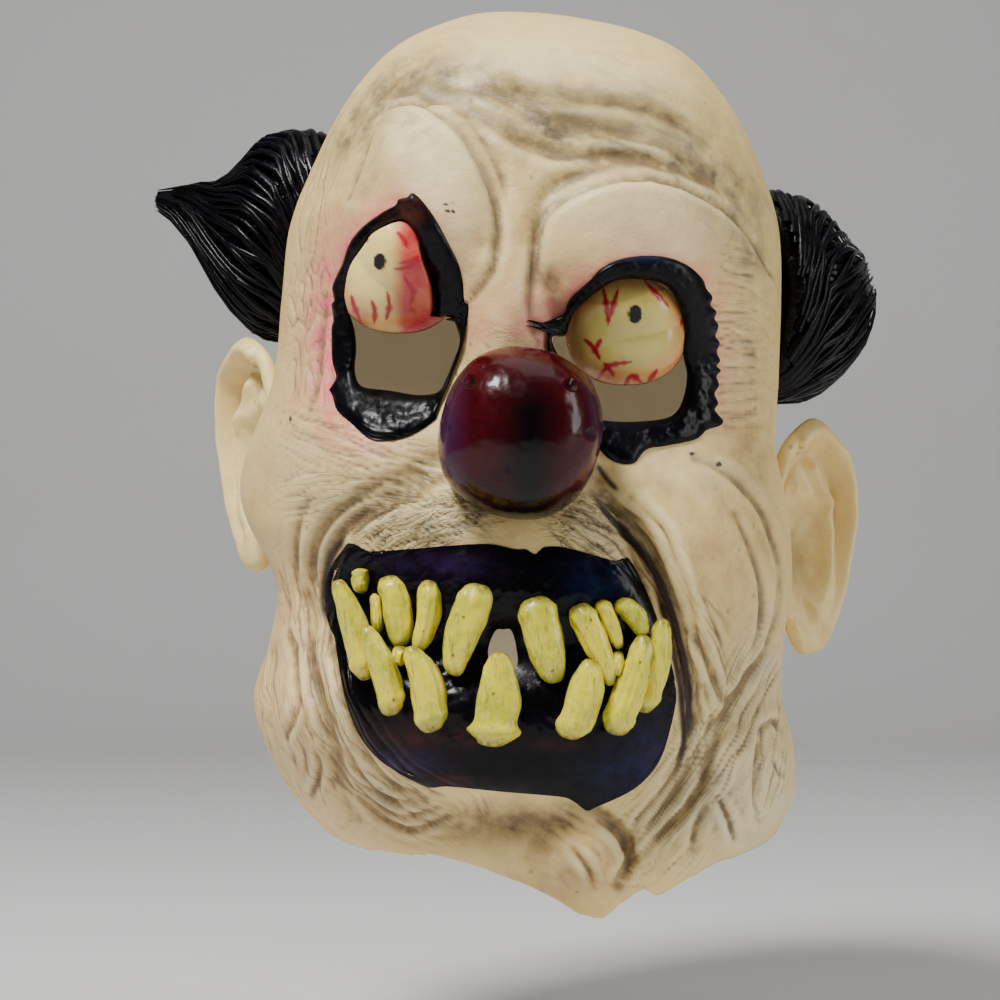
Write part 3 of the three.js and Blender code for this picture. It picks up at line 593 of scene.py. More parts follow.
def loft(
    rings: list[np.ndarray], start: np.ndarray | None, end: np.ndarray | None
) -> tuple[np.ndarray, list]:
    """Joins closed rings of points into a skin, with a point at each end.

    Args:
        rings: Rings with the same count of points.
        start: The point that closes the first ring, or None to join the last ring to the first.
        end: The point that closes the last ring.

    Returns:
        The points and the faces.
    """
    count = len(rings[0])
    points = np.concatenate(rings)
    faces = []
    steps = len(rings) - 1 if start is not None else len(rings)
    for j in range(steps):
        here, there = j * count, ((j + 1) % len(rings)) * count
        faces += [
            (here + i, there + i, there + (i + 1) % count, here + (i + 1) % count) for i in range(count)
        ]
    if start is not None:
        points = np.concatenate([points, [start, end]])
        last = (len(rings) - 1) * count
        faces += [(len(points) - 2, i, (i + 1) % count) for i in range(count)]
        faces += [(len(points) - 1, last + (i + 1) % count, last + i) for i in range(count)]
    return points, faces


def zip_loops(
    first: list[int], first_at: np.ndarray, second: list[int], second_at: np.ndarray, flip: bool
) -> list[tuple[int, ...]]:
    """Joins two closed loops of points that may differ in count.

    Args:
        first: The first loop's point numbers.
        first_at: Their places round the loop, rising from 0 towards 1.
        second: The second loop's point numbers.
        second_at: Their places.
        flip: True to turn the faces over.

    Returns:
        The triangles.
    """
    i = j = 0
    n, m = len(first), len(second)
    faces = []
    while i < n or j < m:
        ahead = first_at[i + 1] if i + 1 < n else 1 + first_at[0] if i < n else 9
        beside = second_at[j + 1] if j + 1 < m else 1 + second_at[0] if j < m else 9
        a, b = first[i % n], second[j % m]
        if ahead <= beside:
            face = (a, b, first[(i + 1) % n])
            i += 1
        else:
            face = (a, b, second[(j + 1) % m])
            j += 1
        faces.append(face[::-1] if flip else face)
    return faces


# Painted masks


class Paint(Enum):
    """What is painted on, each a mask on the points; some washes are painted shade, the pale tops painted
    highlights.
    """

    WASH = "wash"
    BLUSH = "blush"
    STAIN = "stain"
    TAN = "tan"
    COOL = "cool"
    ROSY = "rosy"
    FLECK = "fleck"
    CRACK = "crack"
    PALE = "pale"


@dataclass(frozen=True)
class Spot:
    """A soft patch of paint: its column and row in the picture, and its half sizes in millimetres."""

    column: float
    row: float
    wide: float
    high: float
    strength: float
    lean: float = 0
    soft: float = 1

    def amount(self, x: np.ndarray, down: np.ndarray) -> np.ndarray:
        """Gives how much of its paint lies on each place."""
        (at,) = on_face(((self.column, self.row),))
        return self.strength * mound(x, down, at, (self.wide, self.high), self.lean, self.soft)


@dataclass(frozen=True)
class Stroke:
    """Paint along a line, thinning towards its ends."""

    line: Reading
    width: float
    strength: float

    def amount(self, x: np.ndarray, down: np.ndarray) -> np.ndarray:
        """Gives how much of its paint lies on each place."""
        guide = Guide(on_face(self.line))
        signed, share = guide.measure(x, down)
        ends = np.clip(np.minimum(share, 1 - share) / 0.2 + 0.35, 0, 1)
        wobble = 1 + 0.3 * gradient_noise(share * guide.length / 5, signed / 5, 33)
        return self.strength * ends * hill(signed, 0, self.width * wobble)


@dataclass(frozen=True)
class Halo:
    """Blush sprayed round the outside of an outline, strongest towards one direction in degrees."""

    outline: str
    reach: float
    strength: float
    towards: float
    spread: float

    def amount(self, x: np.ndarray, down: np.ndarray) -> np.ndarray:
        """Gives how much of its paint lies on each place."""
        loop = OUTLINES[self.outline]
        centre = loop.mean(0)
        signed, _ = nearest(x, down, np.vstack([loop[::4], loop[:1]]))
        angle = np.degrees(np.arctan2(centre[1] - down, x - centre[0]))
        off = np.abs((angle - self.towards + 180) % 360 - 180)
        return self.strength * hill(off, 0, self.spread, 4) * np.exp(-np.abs(signed) / self.reach)


LEFT_RIM = (
    (412, 192), (421, 199), (435, 218), (447, 240), (457, 260), (462, 278), (464, 299), (468, 303),
    (467, 318), (462, 343), (450, 377), (443, 393), (437, 412), (433, 420), (410, 435), (387, 440),
    (368, 438), (350, 423), (333, 408), (327, 392), (322, 382), (331, 375), (326, 355), (325, 323),
    (327, 313), (325, 297), (328, 293), (326, 280), (331, 268), (337, 258), (343, 243), (350, 232),
    (362, 221), (380, 210), (395, 203), (397, 198), (407, 196),
)
LEFT_OPENING = (
    (406, 221), (417, 237), (422, 258), (430, 283), (432, 305), (430, 312), (440, 313), (445, 317),
    (449, 312), (453, 317), (459, 338), (452, 360), (445, 377), (437, 390), (417, 393), (387, 388),
    (358, 383), (350, 367), (351, 343), (349, 323), (342, 300), (341, 287), (347, 262), (362, 242),
    (372, 230), (395, 220),
)
RIGHT_RIM = (
    (524, 323), (530, 319), (540, 322), (563, 313), (570, 298), (590, 280), (602, 268), (625, 258),
    (660, 255), (687, 262), (705, 275), (710, 285), (717, 293), (715, 301), (722, 307), (720, 314),
    (725, 321), (722, 331), (727, 338), (724, 347), (728, 356), (724, 361), (729, 366), (724, 372),
    (727, 381), (722, 390), (726, 400), (722, 407), (731, 417), (728, 423), (713, 428), (700, 438),
    (667, 445), (653, 447), (645, 452), (637, 462), (628, 464), (617, 462), (607, 456), (597, 443),
    (577, 403), (555, 370), (549, 353), (547, 328), (533, 327),
)
RIGHT_OPENING = (
    (553, 335), (566, 333), (572, 317), (580, 305), (603, 287), (620, 279), (645, 278), (667, 283),
    (683, 303), (689, 325), (688, 347), (693, 372), (687, 400), (673, 415), (640, 420), (606, 419),
    (597, 410), (577, 378), (557, 350),
)
MOUTH = (
    (347, 542), (355, 549), (370, 552), (410, 549), (457, 545), (490, 544), (515, 549), (526, 549),
    (535, 554), (544, 547), (563, 547), (590, 554), (617, 561), (625, 557), (632, 562), (648, 593),
    (662, 630), (673, 667), (677, 687), (677, 707), (668, 743), (660, 763), (647, 780), (630, 793),
    (598, 808), (587, 812), (575, 803), (560, 797), (503, 792), (450, 787), (430, 789), (413, 783),
    (380, 763), (358, 737), (343, 697), (335, 660), (331, 640), (325, 630), (320, 613), (320, 585),
    (328, 565), (338, 552),
)
BREATHING_GAP = ((504, 629), (511, 630), (516, 646), (516, 667), (495, 672), (488, 652), (495, 631))

SPOTS: dict[Paint, tuple[Spot, ...]] = {
    # grey-brown washes over the forehead, round the eyes and down the jaw, partly painted shade in the
    # valleys and on the temples
    Paint.WASH: tuple(Spot(*values) for values in (
        (430, 80, 34, 8, 0.8, -8, 1), (530, 110, 22, 14, 0.8, 25), (580, 85, 20, 8, 0.6, 10),
        (610, 140, 34, 13, 0.8, 12), (700, 165, 28, 12, 0.85, 25), (755, 225, 9, 20, 0.7, -20),
        (350, 115, 14, 10, 0.8, -40), (355, 190, 8, 16, 0.4, 20), (395, 150, 8, 12, 0.35),
        (640, 75, 34, 4, 0.35, 16), (470, 55, 22, 4, 0.45, 20), (620, 215, 22, 8, 0.35, -10),
        (715, 235, 12, 8, 0.35), (300, 330, 6, 26, 0.45), (762, 400, 8, 40, 0.35),
        (690, 475, 16, 8, 0.4, 20), (320, 440, 18, 8, 0.3, 20), (340, 505, 18, 6, 0.6, -22),
        (318, 570, 6, 22, 0.6, 10), (425, 525, 22, 9, 0.75), (600, 530, 12, 10, 0.8, 30),
        (335, 740, 9, 26, 0.5, -22), (375, 800, 24, 9, 0.55, 25), (310, 640, 6, 24, 0.35),
        (690, 790, 22, 12, 0.5, -45), (650, 840, 14, 10, 0.45, -45), (735, 690, 16, 10, 0.35, -50),
        (705, 720, 7, 16, 0.4, 10), (560, 880, 22, 8, 0.25),
    )),
    # warm patches
    Paint.TAN: tuple(Spot(*values) for values in (
        (515, 230, 9, 34, 0.5, 0, 2), (440, 200, 12, 20, 0.25), (330, 430, 26, 14, 0.45, 15),
        (575, 865, 22, 14, 1.0, 0, 2), (470, 835, 34, 8, 0.8), (730, 570, 20, 38, 0.85, 0, 2),
        (700, 500, 18, 14, 0.6), (672, 560, 8, 22, 0.5),
    )),
    # pink round the eyes
    Paint.BLUSH: tuple(Spot(*values) for values in (
        (318, 275, 5, 22, 0.9), (545, 338, 4, 6, 1.3), (556, 305, 6, 10, 0.8, -40),
        (485, 330, 8, 9, 0.5), (312, 360, 6, 14, 0.7), (470, 250, 5, 14, 0.3),
    )),
    # rosy patches of the left cheek
    Paint.ROSY: tuple(Spot(*values) for values in (
        (278, 680, 16, 40, 0.9, 0, 2), (320, 790, 24, 20, 0.8), (285, 520, 14, 18, 0.5),
    )),
    # cool patches of the right jowl
    Paint.COOL: tuple(Spot(*values) for values in (
        (755, 810, 24, 24, 1.0, 0, 2), (775, 700, 12, 26, 0.8), (640, 70, 26, 8, 0.3),
    )),
    # small dark marks
    Paint.FLECK: tuple(Spot(*values) for values in (
        (725, 463, 1.1, 0.9, 1, 0, 3), (281, 415, 0.9, 0.7, 0.8, 0, 3), (512, 832, 0.8, 0.8, 0.7, 0, 3),
        (507, 868, 0.7, 0.7, 0.7, 0, 3),
    )),
    # painted highlights on the tops of the brow lobes, the forehead ridges and the cheeks
    Paint.PALE: tuple(Spot(*values) for values in (
        (440, 190, 14, 24, 0.7, -12, 2), (400, 140, 8, 12, 0.5), (640, 222, 28, 12, 0.6, 6, 2),
        (550, 50, 30, 8, 0.5, 8), (600, 110, 26, 3, 0.5, 14), (470, 95, 18, 3, 0.5, 25),
        (295, 460, 10, 14, 0.4), (690, 470, 16, 5, 0.4, 12), (510, 350, 10, 6, 0.4),
        (680, 600, 3, 24, 0.5),
    )),
    # cracked lip pads
    Paint.CRACK: tuple(Spot(*values) for values in (
        (425, 522, 22, 9, 1.3, -8, 2), (585, 525, 13, 10, 1.3, 30, 2), (500, 850, 12, 5, 0.4, 0, 2),
    )),
}
STROKES: dict[Paint, tuple[Stroke, ...]] = {
    Paint.WASH: (
        Stroke(
            (
                (335, 145), (370, 92), (420, 68), (480, 80), (540, 115), (600, 128), (670, 142),
                (730, 182), (768, 240),
            ),
            11, 0.95,
        ),
        # dark lines along the creases round the brow lobes and the right cheek: partly paint washes, partly
        # painted shade in the creases
        Stroke(((474, 292), (492, 268), (497, 225), (485, 180), (462, 135), (430, 105)), 2.0, 0.8),
        Stroke(
            (
                (536, 330), (530, 300), (537, 250), (548, 215), (580, 192), (640, 178), (700, 190),
                (745, 215),
            ),
            2.0, 0.8,
        ),
        Stroke(((345, 190), (372, 118), (400, 95), (430, 105)), 2.0, 0.6),
        Stroke(((742, 478), (772, 510), (792, 555), (797, 600), (788, 640), (760, 680)), 1.6, 0.5),
        Stroke(((690, 632), (708, 660), (728, 704)), 1.0, 0.7),
        Stroke(((742, 515), (762, 560), (773, 602), (770, 640)), 1.2, 0.5),
    ),
    Paint.TAN: (
        Stroke(((514, 150), (516, 200), (514, 250), (512, 300)), 8, 0.7),
    ),
    Paint.STAIN: (
        Stroke(
            (
                (590, 490), (608, 515), (630, 537), (650, 562), (665, 592), (676, 625), (686, 665),
                (692, 715), (688, 750),
            ),
            1.5, 1.0,
        ),
        Stroke(((640, 545), (656, 566), (668, 590), (678, 620)), 2.6, 0.45),
        Stroke(((655, 585), (668, 625), (682, 690), (686, 745), (676, 785)), 1.5, 0.8),
        Stroke(((597, 462), (607, 478), (620, 492)), 1.2, 0.7),
        Stroke(((400, 503), (370, 519), (345, 540)), 1.3, 0.6),
        Stroke(((345, 535), (326, 558), (319, 590), (320, 625)), 2.0, 0.75),
        Stroke(((316, 520), (306, 545), (303, 575)), 1.2, 0.4),
        Stroke(((548, 528), (560, 540), (575, 548)), 1.0, 0.5),
        Stroke(((600, 818), (621, 836), (631, 862), (619, 888)), 1.3, 0.4),
    ),
    Paint.FLECK: (
        Stroke(((443, 204), (450, 203), (457, 204)), 0.5, 1),
        Stroke(((445, 211), (451, 210), (455, 212)), 0.5, 1),
        Stroke(((692, 452), (699, 453), (704, 452)), 0.5, 1),
    ),
}
# pink sprayed round the eye rims
HALOS = {Paint.BLUSH: tuple(Halo(*values) for values in (
    ("left_rim", 7, 1.7, 185, 75), ("left_rim", 5, 1.1, 110, 60), ("left_rim", 5, 0.45, 20, 50),
    ("right_rim", 6, 1.2, 165, 60), ("right_rim", 6, 0.9, 95, 60), ("right_rim", 6, 0.6, 20, 60),
))}


@dataclass(frozen=True)
class Wrinkles:
    """Wrinkles that flow beside a guide line.

    "reach" is how far they spread on each side, "spacing" their distance apart, "run" how long each goes on,
    "depth" how deep they are, in millimetres, and "sharp" how narrow.
    """

    line: Reading
    reach: float
    spacing: float
    run: float
    depth: float
    sharp: float
    seed: int


WRINKLES = (
    Wrinkles(
        ((335, 185), (385, 115), (460, 85), (540, 105), (620, 125), (700, 160), (765, 225)), 15, 7, 45,
        0.3, 2, 1,
    ),
    Wrinkles(((345, 120), (420, 60), (500, 45), (600, 60), (700, 120)), 12, 7, 50, 0.2, 2, 2),
    Wrinkles(((318, 130), (303, 180), (294, 240), (290, 310)), 7, 3.2, 26, 0.55, 3, 3),
    Wrinkles(((722, 260), (770, 262)), 9, 3.6, 30, 0.55, 2.5, 4),
    Wrinkles(((715, 330), (775, 330)), 16, 3.4, 30, 0.6, 2.5, 5),
    Wrinkles(((725, 400), (775, 395)), 9, 3.4, 30, 0.5, 2.5, 6),
    Wrinkles(((272, 420), (320, 440), (380, 462), (440, 478)), 10, 3.4, 26, 0.7, 2.5, 7),
    Wrinkles(((262, 500), (330, 485), (400, 480), (450, 488)), 9, 3.3, 24, 0.7, 2.5, 8),
    Wrinkles(((350, 560), (400, 530), (450, 512), (500, 512)), 8, 3.4, 15, 0.9, 3, 9),
    Wrinkles(((540, 512), (575, 520), (610, 540), (640, 565)), 7, 3.2, 14, 0.9, 3, 10),
    Wrinkles(
        ((323, 600), (322, 660), (335, 715), (365, 765), (410, 800), (450, 815)), 13, 2.8, 45, 0.9, 2.5, 11
    ),
    Wrinkles(((790, 660), (755, 715), (715, 770), (680, 815), (640, 860)), 15, 3.4, 45, 0.9, 2.5, 12),
    Wrinkles(((262, 640), (262, 700), (280, 765), (315, 825)), 15, 4.6, 40, 1.0, 2.5, 13),
    Wrinkles(((606, 500), (640, 555), (672, 620), (692, 700), (695, 780)), 6, 3.0, 26, 0.8, 2.5, 15),
    Wrinkles(((655, 545), (690, 600), (720, 660), (735, 720)), 7, 3.2, 30, 0.6, 2.5, 16),
    Wrinkles(((280, 560), (292, 610), (300, 660)), 9, 3.2, 32, 0.7, 2.5, 19),
    Wrinkles(((300, 250), (306, 330), (300, 400)), 10, 3, 9, 0.45, 3, 20),
    Wrinkles(((480, 340), (520, 352), (540, 360)), 6, 2.6, 12, 0.35, 3, 22),
    Wrinkles(((540, 830), (575, 845), (600, 870)), 12, 5, 30, 0.25, 2, 23),
    Wrinkles(((470, 380), (460, 370), (452, 350)), 5, 2.5, 12, 0.35, 3, 24),
    Wrinkles(((800, 700), (790, 760), (770, 820)), 8, 4, 30, 0.8, 2.5, 25),
)


@dataclass
class Skin:
    """The hollow latex head: its fine wrinkles, its paint, its openings and its cut edge."""

    form: HeadForm
    columns: int = 335
    rows: int = 296
    inner_columns: int = 100
    inner_rows: int = 80
    slack: float = 0.8
    front_share: float = 0.9
    front_turn: float = 85
    crown_ease: float = 0.12

    def wrinkle(self, x: np.ndarray, down: np.ndarray) -> np.ndarray:
        """Gives the height of the fine wrinkles at places on the face, in millimetres, mostly negative."""
        out = np.zeros(x.shape)
        for family in WRINKLES:
            guide = Guide(on_face(family.line), 16)
            near = guide.box(x, down, 1.7 * family.reach)
            signed, share = guide.measure(x[near], down[near])
            sway = 0.35 * gradient_noise(x[near] / 9, down[near] / 9, family.seed + 500)
            run = share * guide.length / family.run
            lane = gradient_noise(run, signed / family.spacing + sway, family.seed)
            crease = (1 - np.minimum(np.abs(lane) * 1.6, 1)) ** family.sharp
            ends = np.clip(np.minimum(share, 1 - share) / 0.15 + 0.25, 0, 1)
            patchy = 0.65 + 0.35 * gradient_noise(x[near] / 14, down[near] / 14, family.seed + 900)
            window = np.exp(-((signed / family.reach) ** 4)) * ends * patchy
            out[near] -= 1.6 * family.depth * window * crease
        for crease in CREASES:
            guide = Guide(on_face(crease.line), 18)
            near = guide.box(x, down, 5 * crease.reach + 5 * abs(crease.step))
            signed, share = guide.measure(x[near], down[near])
            taper = np.sqrt(np.sin(np.pi * np.clip(share, 0.03, 0.97)))
            off = np.abs(signed) / crease.reach
            profile = np.exp(-(off**2)) - 0.35 * np.exp(-(((off - 2.3) / 1.1) ** 2))
            ledge = np.clip(signed / 1.2 + 0.3, 0, 1) * np.exp(-((np.maximum(signed, 0) / 8) ** 2))
            out[near] += (crease.out * profile + crease.step * ledge) * taper
        out = np.where(out < -1.2, -1.2 + (out + 1.2) * 0.45, out)
        lumps = gradient_noise(x / 17, down / 17, 71) * 0.5 + gradient_noise(x / 7, down / 7, 72) * 0.16
        return out + lumps + 0.05 * gradient_noise(x / 2.6, down / 2.6, 73)

    def flow(self, x: np.ndarray, down: np.ndarray) -> dict[str, np.ndarray]:
        """Gives the places along and across the nearest family of wrinkles, for the fine painted lines.

        Args:
            x: Millimetres right of the middle.
            down: Millimetres down from the crown.

        Returns:
            The places along and across, and how strongly the soft lines and the etched ones show.
        """
        best, second = np.zeros(x.shape), np.zeros(x.shape)
        along_it, across_it = np.zeros(x.shape), np.zeros(x.shape)
        etch = np.zeros(x.shape)
        for family in WRINKLES:
            guide = Guide(on_face(family.line), 16)
            signed, share = guide.measure(x, down)
            ends = np.clip(np.minimum(share, 1 - share) / 0.15, 0, 1)
            window = np.exp(-((signed / (1.25 * family.reach)) ** 4)) * ends
            wins = window > best
            second = np.where(wins, best, np.maximum(second, window))
            best = np.where(wins, window, best)
            along_it = np.where(wins, share * guide.length / family.run + family.seed, along_it)
            across_it = np.where(wins, signed / family.spacing, across_it)
            etch = np.where(wins, np.clip((family.depth - 0.35) / 0.3, 0, 1), etch)
        shows = np.clip((best - second) / 0.35, 0, 1) * best
        return {"flow_along": along_it, "flow_across": across_it, "flow": shows, "etch": shows * etch}

    def cavity(self, grid: np.ndarray) -> tuple[np.ndarray, ...]:
        """Gives how far each point lies below its surroundings near by, further off and far off."""
        rows = np.arange(len(grid))
        across = np.roll(grid, -1, 1) - np.roll(grid, 1, 1)
        downwards = grid[np.minimum(rows + 1, rows[-1])] - grid[np.maximum(rows - 1, 0)]
        outwards = np.cross(downwards, across)
        outwards /= np.linalg.norm(outwards, axis=-1, keepdims=True) + 1e-12
        depths = []
        for reach in (1, 3, 8):
            around = np.roll(grid, reach, 1) + np.roll(grid, -reach, 1)
            around = around + grid[np.minimum(rows + reach, rows[-1])] + grid[np.maximum(rows - reach, 0)]
            depths.append(((around / 4 - grid) * outwards).sum(-1).ravel())
        return tuple(depths)

    def side_folds(self, turn: np.ndarray, down: np.ndarray) -> np.ndarray:
        """Gives the soft folds of the sides and back, in millimetres."""
        round_the_head = turn * 95
        folds = gradient_noise(round_the_head / 26, down / 60, 81) * 0.9
        fine = gradient_noise(round_the_head / 8, down / 22, 82)
        neck = np.clip((down - 215) / 50, 0, 1)
        creases = -(1 - np.minimum(np.abs(fine) * 1.5, 1)) ** 3 * 0.8 * neck
        flap = 4.5 * np.exp(-(((turn + 1.45) / 0.5) ** 2) - ((down - 164) / 17) ** 2)
        return folds * (0.4 + neck) + creases + flap

    def turns(self, columns: int) -> np.ndarray:
        """Spaces the columns: close together over the front, and wide apart at the back."""
        share = 2 * np.arange(columns) / columns - 1
        front = math.radians(self.front_turn)
        inner = share / self.front_share * front
        outer = front + (np.abs(share) - self.front_share) / (1 - self.front_share) * (np.pi - front)
        return np.where(np.abs(share) <= self.front_share, inner, np.sign(share) * outer)

    def grid(self, columns: int, rows: int, fine: bool) -> tuple[np.ndarray, np.ndarray, np.ndarray]:
        """Lays out rings of points from the crown to the lower edge.

        Args:
            columns: Points round each ring.
            rows: Rings.
            fine: True for the outer side with its wrinkles.

        Returns:
            The points, the turn of each column, and how far down each point lies.
        """
        turn = self.turns(columns)
        share = (np.arange(rows) + 1) / rows
        share = share**2 / (share + self.crown_ease) * (1 + self.crown_ease)
        down = self.form.lower_edge(np.degrees(turn))[None, :] * share[:, None]
        if fine:
            chop = gradient_noise(turn * 7, turn * 0, 91) * 0.8
            chop += gradient_noise(turn * 23, turn * 0, 92) * 0.4
            down = down + (chop[None, :] * share[:, None] ** 12)
        turn_grid = np.broadcast_to(turn[None, :], down.shape)
        points = self.form.ring(turn_grid, down)
        before, after = np.roll(points, 1, 1), np.roll(points, -1, 1)
        above = np.concatenate([points[:1], points[:-1]])
        below = np.concatenate([points[1:], points[-1:]])
        outwards = np.cross(below - above, after - before)
        outwards /= np.linalg.norm(outwards, axis=-1, keepdims=True) + 1e-12
        if not fine:
            edge = self.form.lower_edge(np.degrees(turn))[None, :] - down
            wall = self.form.size.wall + self.slack * np.clip(edge / 15, 0, 1)
            return points - wall[..., None] * outwards, turn, down
        facing = np.clip((-outwards[..., 1] - 0.05) / 0.3, 0, 1) * (np.cos(turn_grid) > 0)
        below_crown = np.clip(down / 18, 0, 1)
        height = self.wrinkle(points[..., 0], down) * facing * below_crown
        height += self.side_folds(turn_grid, down) * (1 - facing) * below_crown
        return points + height[..., None] * outwards, turn, down

    def paint(self, points: np.ndarray, down: np.ndarray) -> dict[str, np.ndarray]:
        """Works out each painted mask.

        Args:
            points: The skin's points.
            down: How far down each lies.

        Returns:
            The masks by name.
        """
        x = points[:, 0]
        facing = (points[:, 1] < 0).astype(float)
        masks = {paint.value: np.zeros(len(points)) for paint in Paint}
        blotch = 0.75 + 0.35 * gradient_noise(x / 6, down / 6, 31) + 0.2 * gradient_noise(x / 2, down / 2, 32)
        tables = (SPOTS, STROKES, HALOS)
        for paint, item in [(key, item) for table in tables for key, row in table.items() for item in row]:
            amount = item.amount(x, down)
            if paint not in (Paint.FLECK, Paint.STAIN, Paint.CRACK):
                amount = amount * blotch
            masks[paint.value] = np.maximum(masks[paint.value], amount * facing)
        return masks

    def holes(
        self, points: np.ndarray, down: np.ndarray, columns: int, rows: int, lift: float | None
    ) -> tuple[list, list]:
        """Cuts the openings out of a grid, pulling the edge of each cut onto its outline.

        Args:
            points: The grid's points, changed in place.
            down: How far down each lies, changed in place.
            columns: Points round each ring.
            rows: Rings.
            lift: The wall's offset behind the outer side, or None for the outer side itself.

        Returns:
            The kept cells, and each cut's loop of point numbers with their places round it.
        """
        x = points[:, 0].copy()
        level = self.form.size.wall - points[:, 2]
        front = points[:, 1] < -20
        cells = [
            (
                j * columns + i, (j + 1) * columns + i, (j + 1) * columns + (i + 1) % columns,
                j * columns + (i + 1) % columns,
            )
            for j in range(rows - 1)
            for i in range(columns)
        ]
        table = np.array(cells)
        keep = np.ones(len(table), bool)
        loops = []
        for key in ("mouth_cut", "left_cut", "right_cut"):
            loop = OUTLINES[key]
            inside = inside_loop(x, level, loop) & front
            held = inside[table]
            mixed = held.any(1) & ~held.all(1)
            keep &= ~held.all(1)
            edge = np.unique(table[mixed][held[mixed]])
            for number in edge:
                near = loop[np.argmin((loop[:, 0] - x[number]) ** 2 + (loop[:, 1] - level[number]) ** 2)]
                points[number, 0] = near[0]
                points[number, 2] = self.form.size.wall - near[1]
                down[number] = near[1]
            points[edge, 1] = self.form.front(points[edge, 0], down[edge]) + (0 if lift is None else lift)
            used = {}
            for cell in table[mixed]:
                for a, b in zip(cell, np.roll(cell, -1)):
                    used[(int(a), int(b))] = True
            members = set(edge.tolist())
            follow = {a: b for a, b in used if (b, a) not in used and a in members and b in members}
            start = next(iter(follow))
            chain, at = [start], follow[start]
            while at != start:
                chain.append(at)
                at = follow[at]
            centre = loop.mean(0)
            spots = points[chain]
            angle = np.arctan2(self.form.size.wall - spots[:, 2] - centre[1], spots[:, 0] - centre[0])
            first = int(np.argmin(np.abs(angle)))
            chain = chain[first:] + chain[:first]
            spots = points[chain]
            steps = steps_of(np.vstack([spots, spots[:1]]))
            places = np.concatenate([[0], np.cumsum(steps)[:-1]]) / steps.sum()
            loops.append((chain, places))
        return [cells[i] for i in np.flatnonzero(keep)], loops

    def build(self) -> bpy.types.Object:
        """Builds the hollow head.

        Returns:
            The new object.
        """
        outer, turn, down = self.grid(self.columns, self.rows, True)
        inner, inner_turn, inner_down = self.grid(self.inner_columns, self.inner_rows, False)
        near, close, far = self.cavity(outer)
        outer, down = outer.reshape(-1, 3).copy(), down.reshape(-1).copy()
        inner, inner_down = inner.reshape(-1, 3).copy(), inner_down.reshape(-1).copy()
        outer_cells, outer_loops = self.holes(outer, down, self.columns, self.rows, None)
        inner_cells, inner_loops = self.holes(
            inner, inner_down, self.inner_columns, self.inner_rows, self.form.size.wall + self.slack
        )
        size = self.form.size
        crown = [size.half_width * SECTIONS[0][1], 0, size.wall]
        points = np.vstack([outer, [crown], inner, [[crown[0], 0, 0]]])
        base = len(outer) + 1
        faces = list(outer_cells)
        faces += [(len(outer), i, (i + 1) % self.columns) for i in range(self.columns)]
        faces += [tuple(base + number for number in reversed(cell)) for cell in inner_cells]
        last = base + len(inner)
        faces += [(last, base + (i + 1) % self.inner_columns, base + i) for i in range(self.inner_columns)]
        ring = [(self.rows - 1) * self.columns + i for i in range(self.columns)]
        inner_ring = [
            base + (self.inner_rows - 1) * self.inner_columns + i for i in range(self.inner_columns)
        ]
        at, inner_at = (turn + np.pi) / (2 * np.pi), (inner_turn + np.pi) / (2 * np.pi)
        faces += zip_loops(ring, at, inner_ring, inner_at, False)
        for (chain, places), (inner_chain, inner_places) in zip(outer_loops, inner_loops):
            faces += zip_loops(chain, places, [base + n for n in inner_chain], inner_places, False)
        # sunk feeds the hollow mask, darker in the creases and hollows: partly paint washes, partly painted
        # shade
        sunk = np.clip(near / 0.14, 0, 1) * 0.5 + np.clip(close / 0.55, 0, 1) * 0.6
        sunk += np.clip(far / 2.2, 0, 1) * 0.5
        # raised feeds the ridge mask, lighter on the ridges: partly wear, partly painted highlight
        raised = np.clip(-near / 0.14, 0, 1) * 0.6 + np.clip((-close - 0.15) / 0.6, 0, 1) * 0.5
        all_down = np.concatenate([down, [0], inner_down, [0]])
        masks = self.paint(points, all_down)
        below_crown, inner_side = np.clip(down / 25, 0, 1), np.zeros(len(points) - len(outer))
        masks["hollow"] = np.concatenate([sunk * below_crown, inner_side])
        masks["ridge"] = np.concatenate([raised * below_crown, inner_side])
        masks.update(self.flow(points[:, 0], all_down))
        masks["flow"] = masks["flow"] * (points[:, 1] < -5)
        masks["inside"] = (np.arange(len(points)) >= base).astype(float)
        for key in masks:
            if key != "inside":
                masks[key] = masks[key] * (1 - masks["inside"])
        return make_mesh("latex_head", points, faces, masks)


def between(first: np.ndarray, second: np.ndarray, share: float) -> np.ndarray:
    """Gives a loop part of the way from one star-shaped loop to a second one round it."""
    centre = first.mean(0)
    angles = np.linspace(-np.pi, np.pi, 400, endpoint=False)
    return centre + np.stack([np.cos(angles), np.sin(angles)], 1) * (
        (1 - share) * radius_of(first, centre, angles) + share * radius_of(second, centre, angles)
    ).reshape(-1, 1)


def radius_of(loop: np.ndarray, centre: np.ndarray, angles: np.ndarray) -> np.ndarray:
    """Gives how far a loop lies from a centre in each direction, with down counted as positive."""
    offset = loop - centre
    angle = np.arctan2(offset[:, 1], offset[:, 0])
    order = np.argsort(angle)
    return np.interp(angles, angle[order], np.hypot(offset[:, 0], offset[:, 1])[order], period=2 * np.pi)


OUTLINES: dict[str, np.ndarray] = {}


def lay_outlines() -> None:
    """Fills the outlines that the skin and the inlays share, each as an even loop."""
    tables = {
        "left_rim": LEFT_RIM,
        "left_opening": LEFT_OPENING,
        "right_rim": RIGHT_RIM,
        "right_opening": RIGHT_OPENING,
        "mouth": MOUTH,
        "gap": BREATHING_GAP,
    }
    for key, table in tables.items():
        OUTLINES[key] = smooth_loop(on_face(table), 400)
    OUTLINES["left_cut"] = between(OUTLINES["left_opening"], OUTLINES["left_rim"], 0.5)
    OUTLINES["right_cut"] = between(OUTLINES["right_opening"], OUTLINES["right_rim"], 0.5)
    OUTLINES["mouth_cut"] = between(OUTLINES["gap"], OUTLINES["mouth"], 0.96)


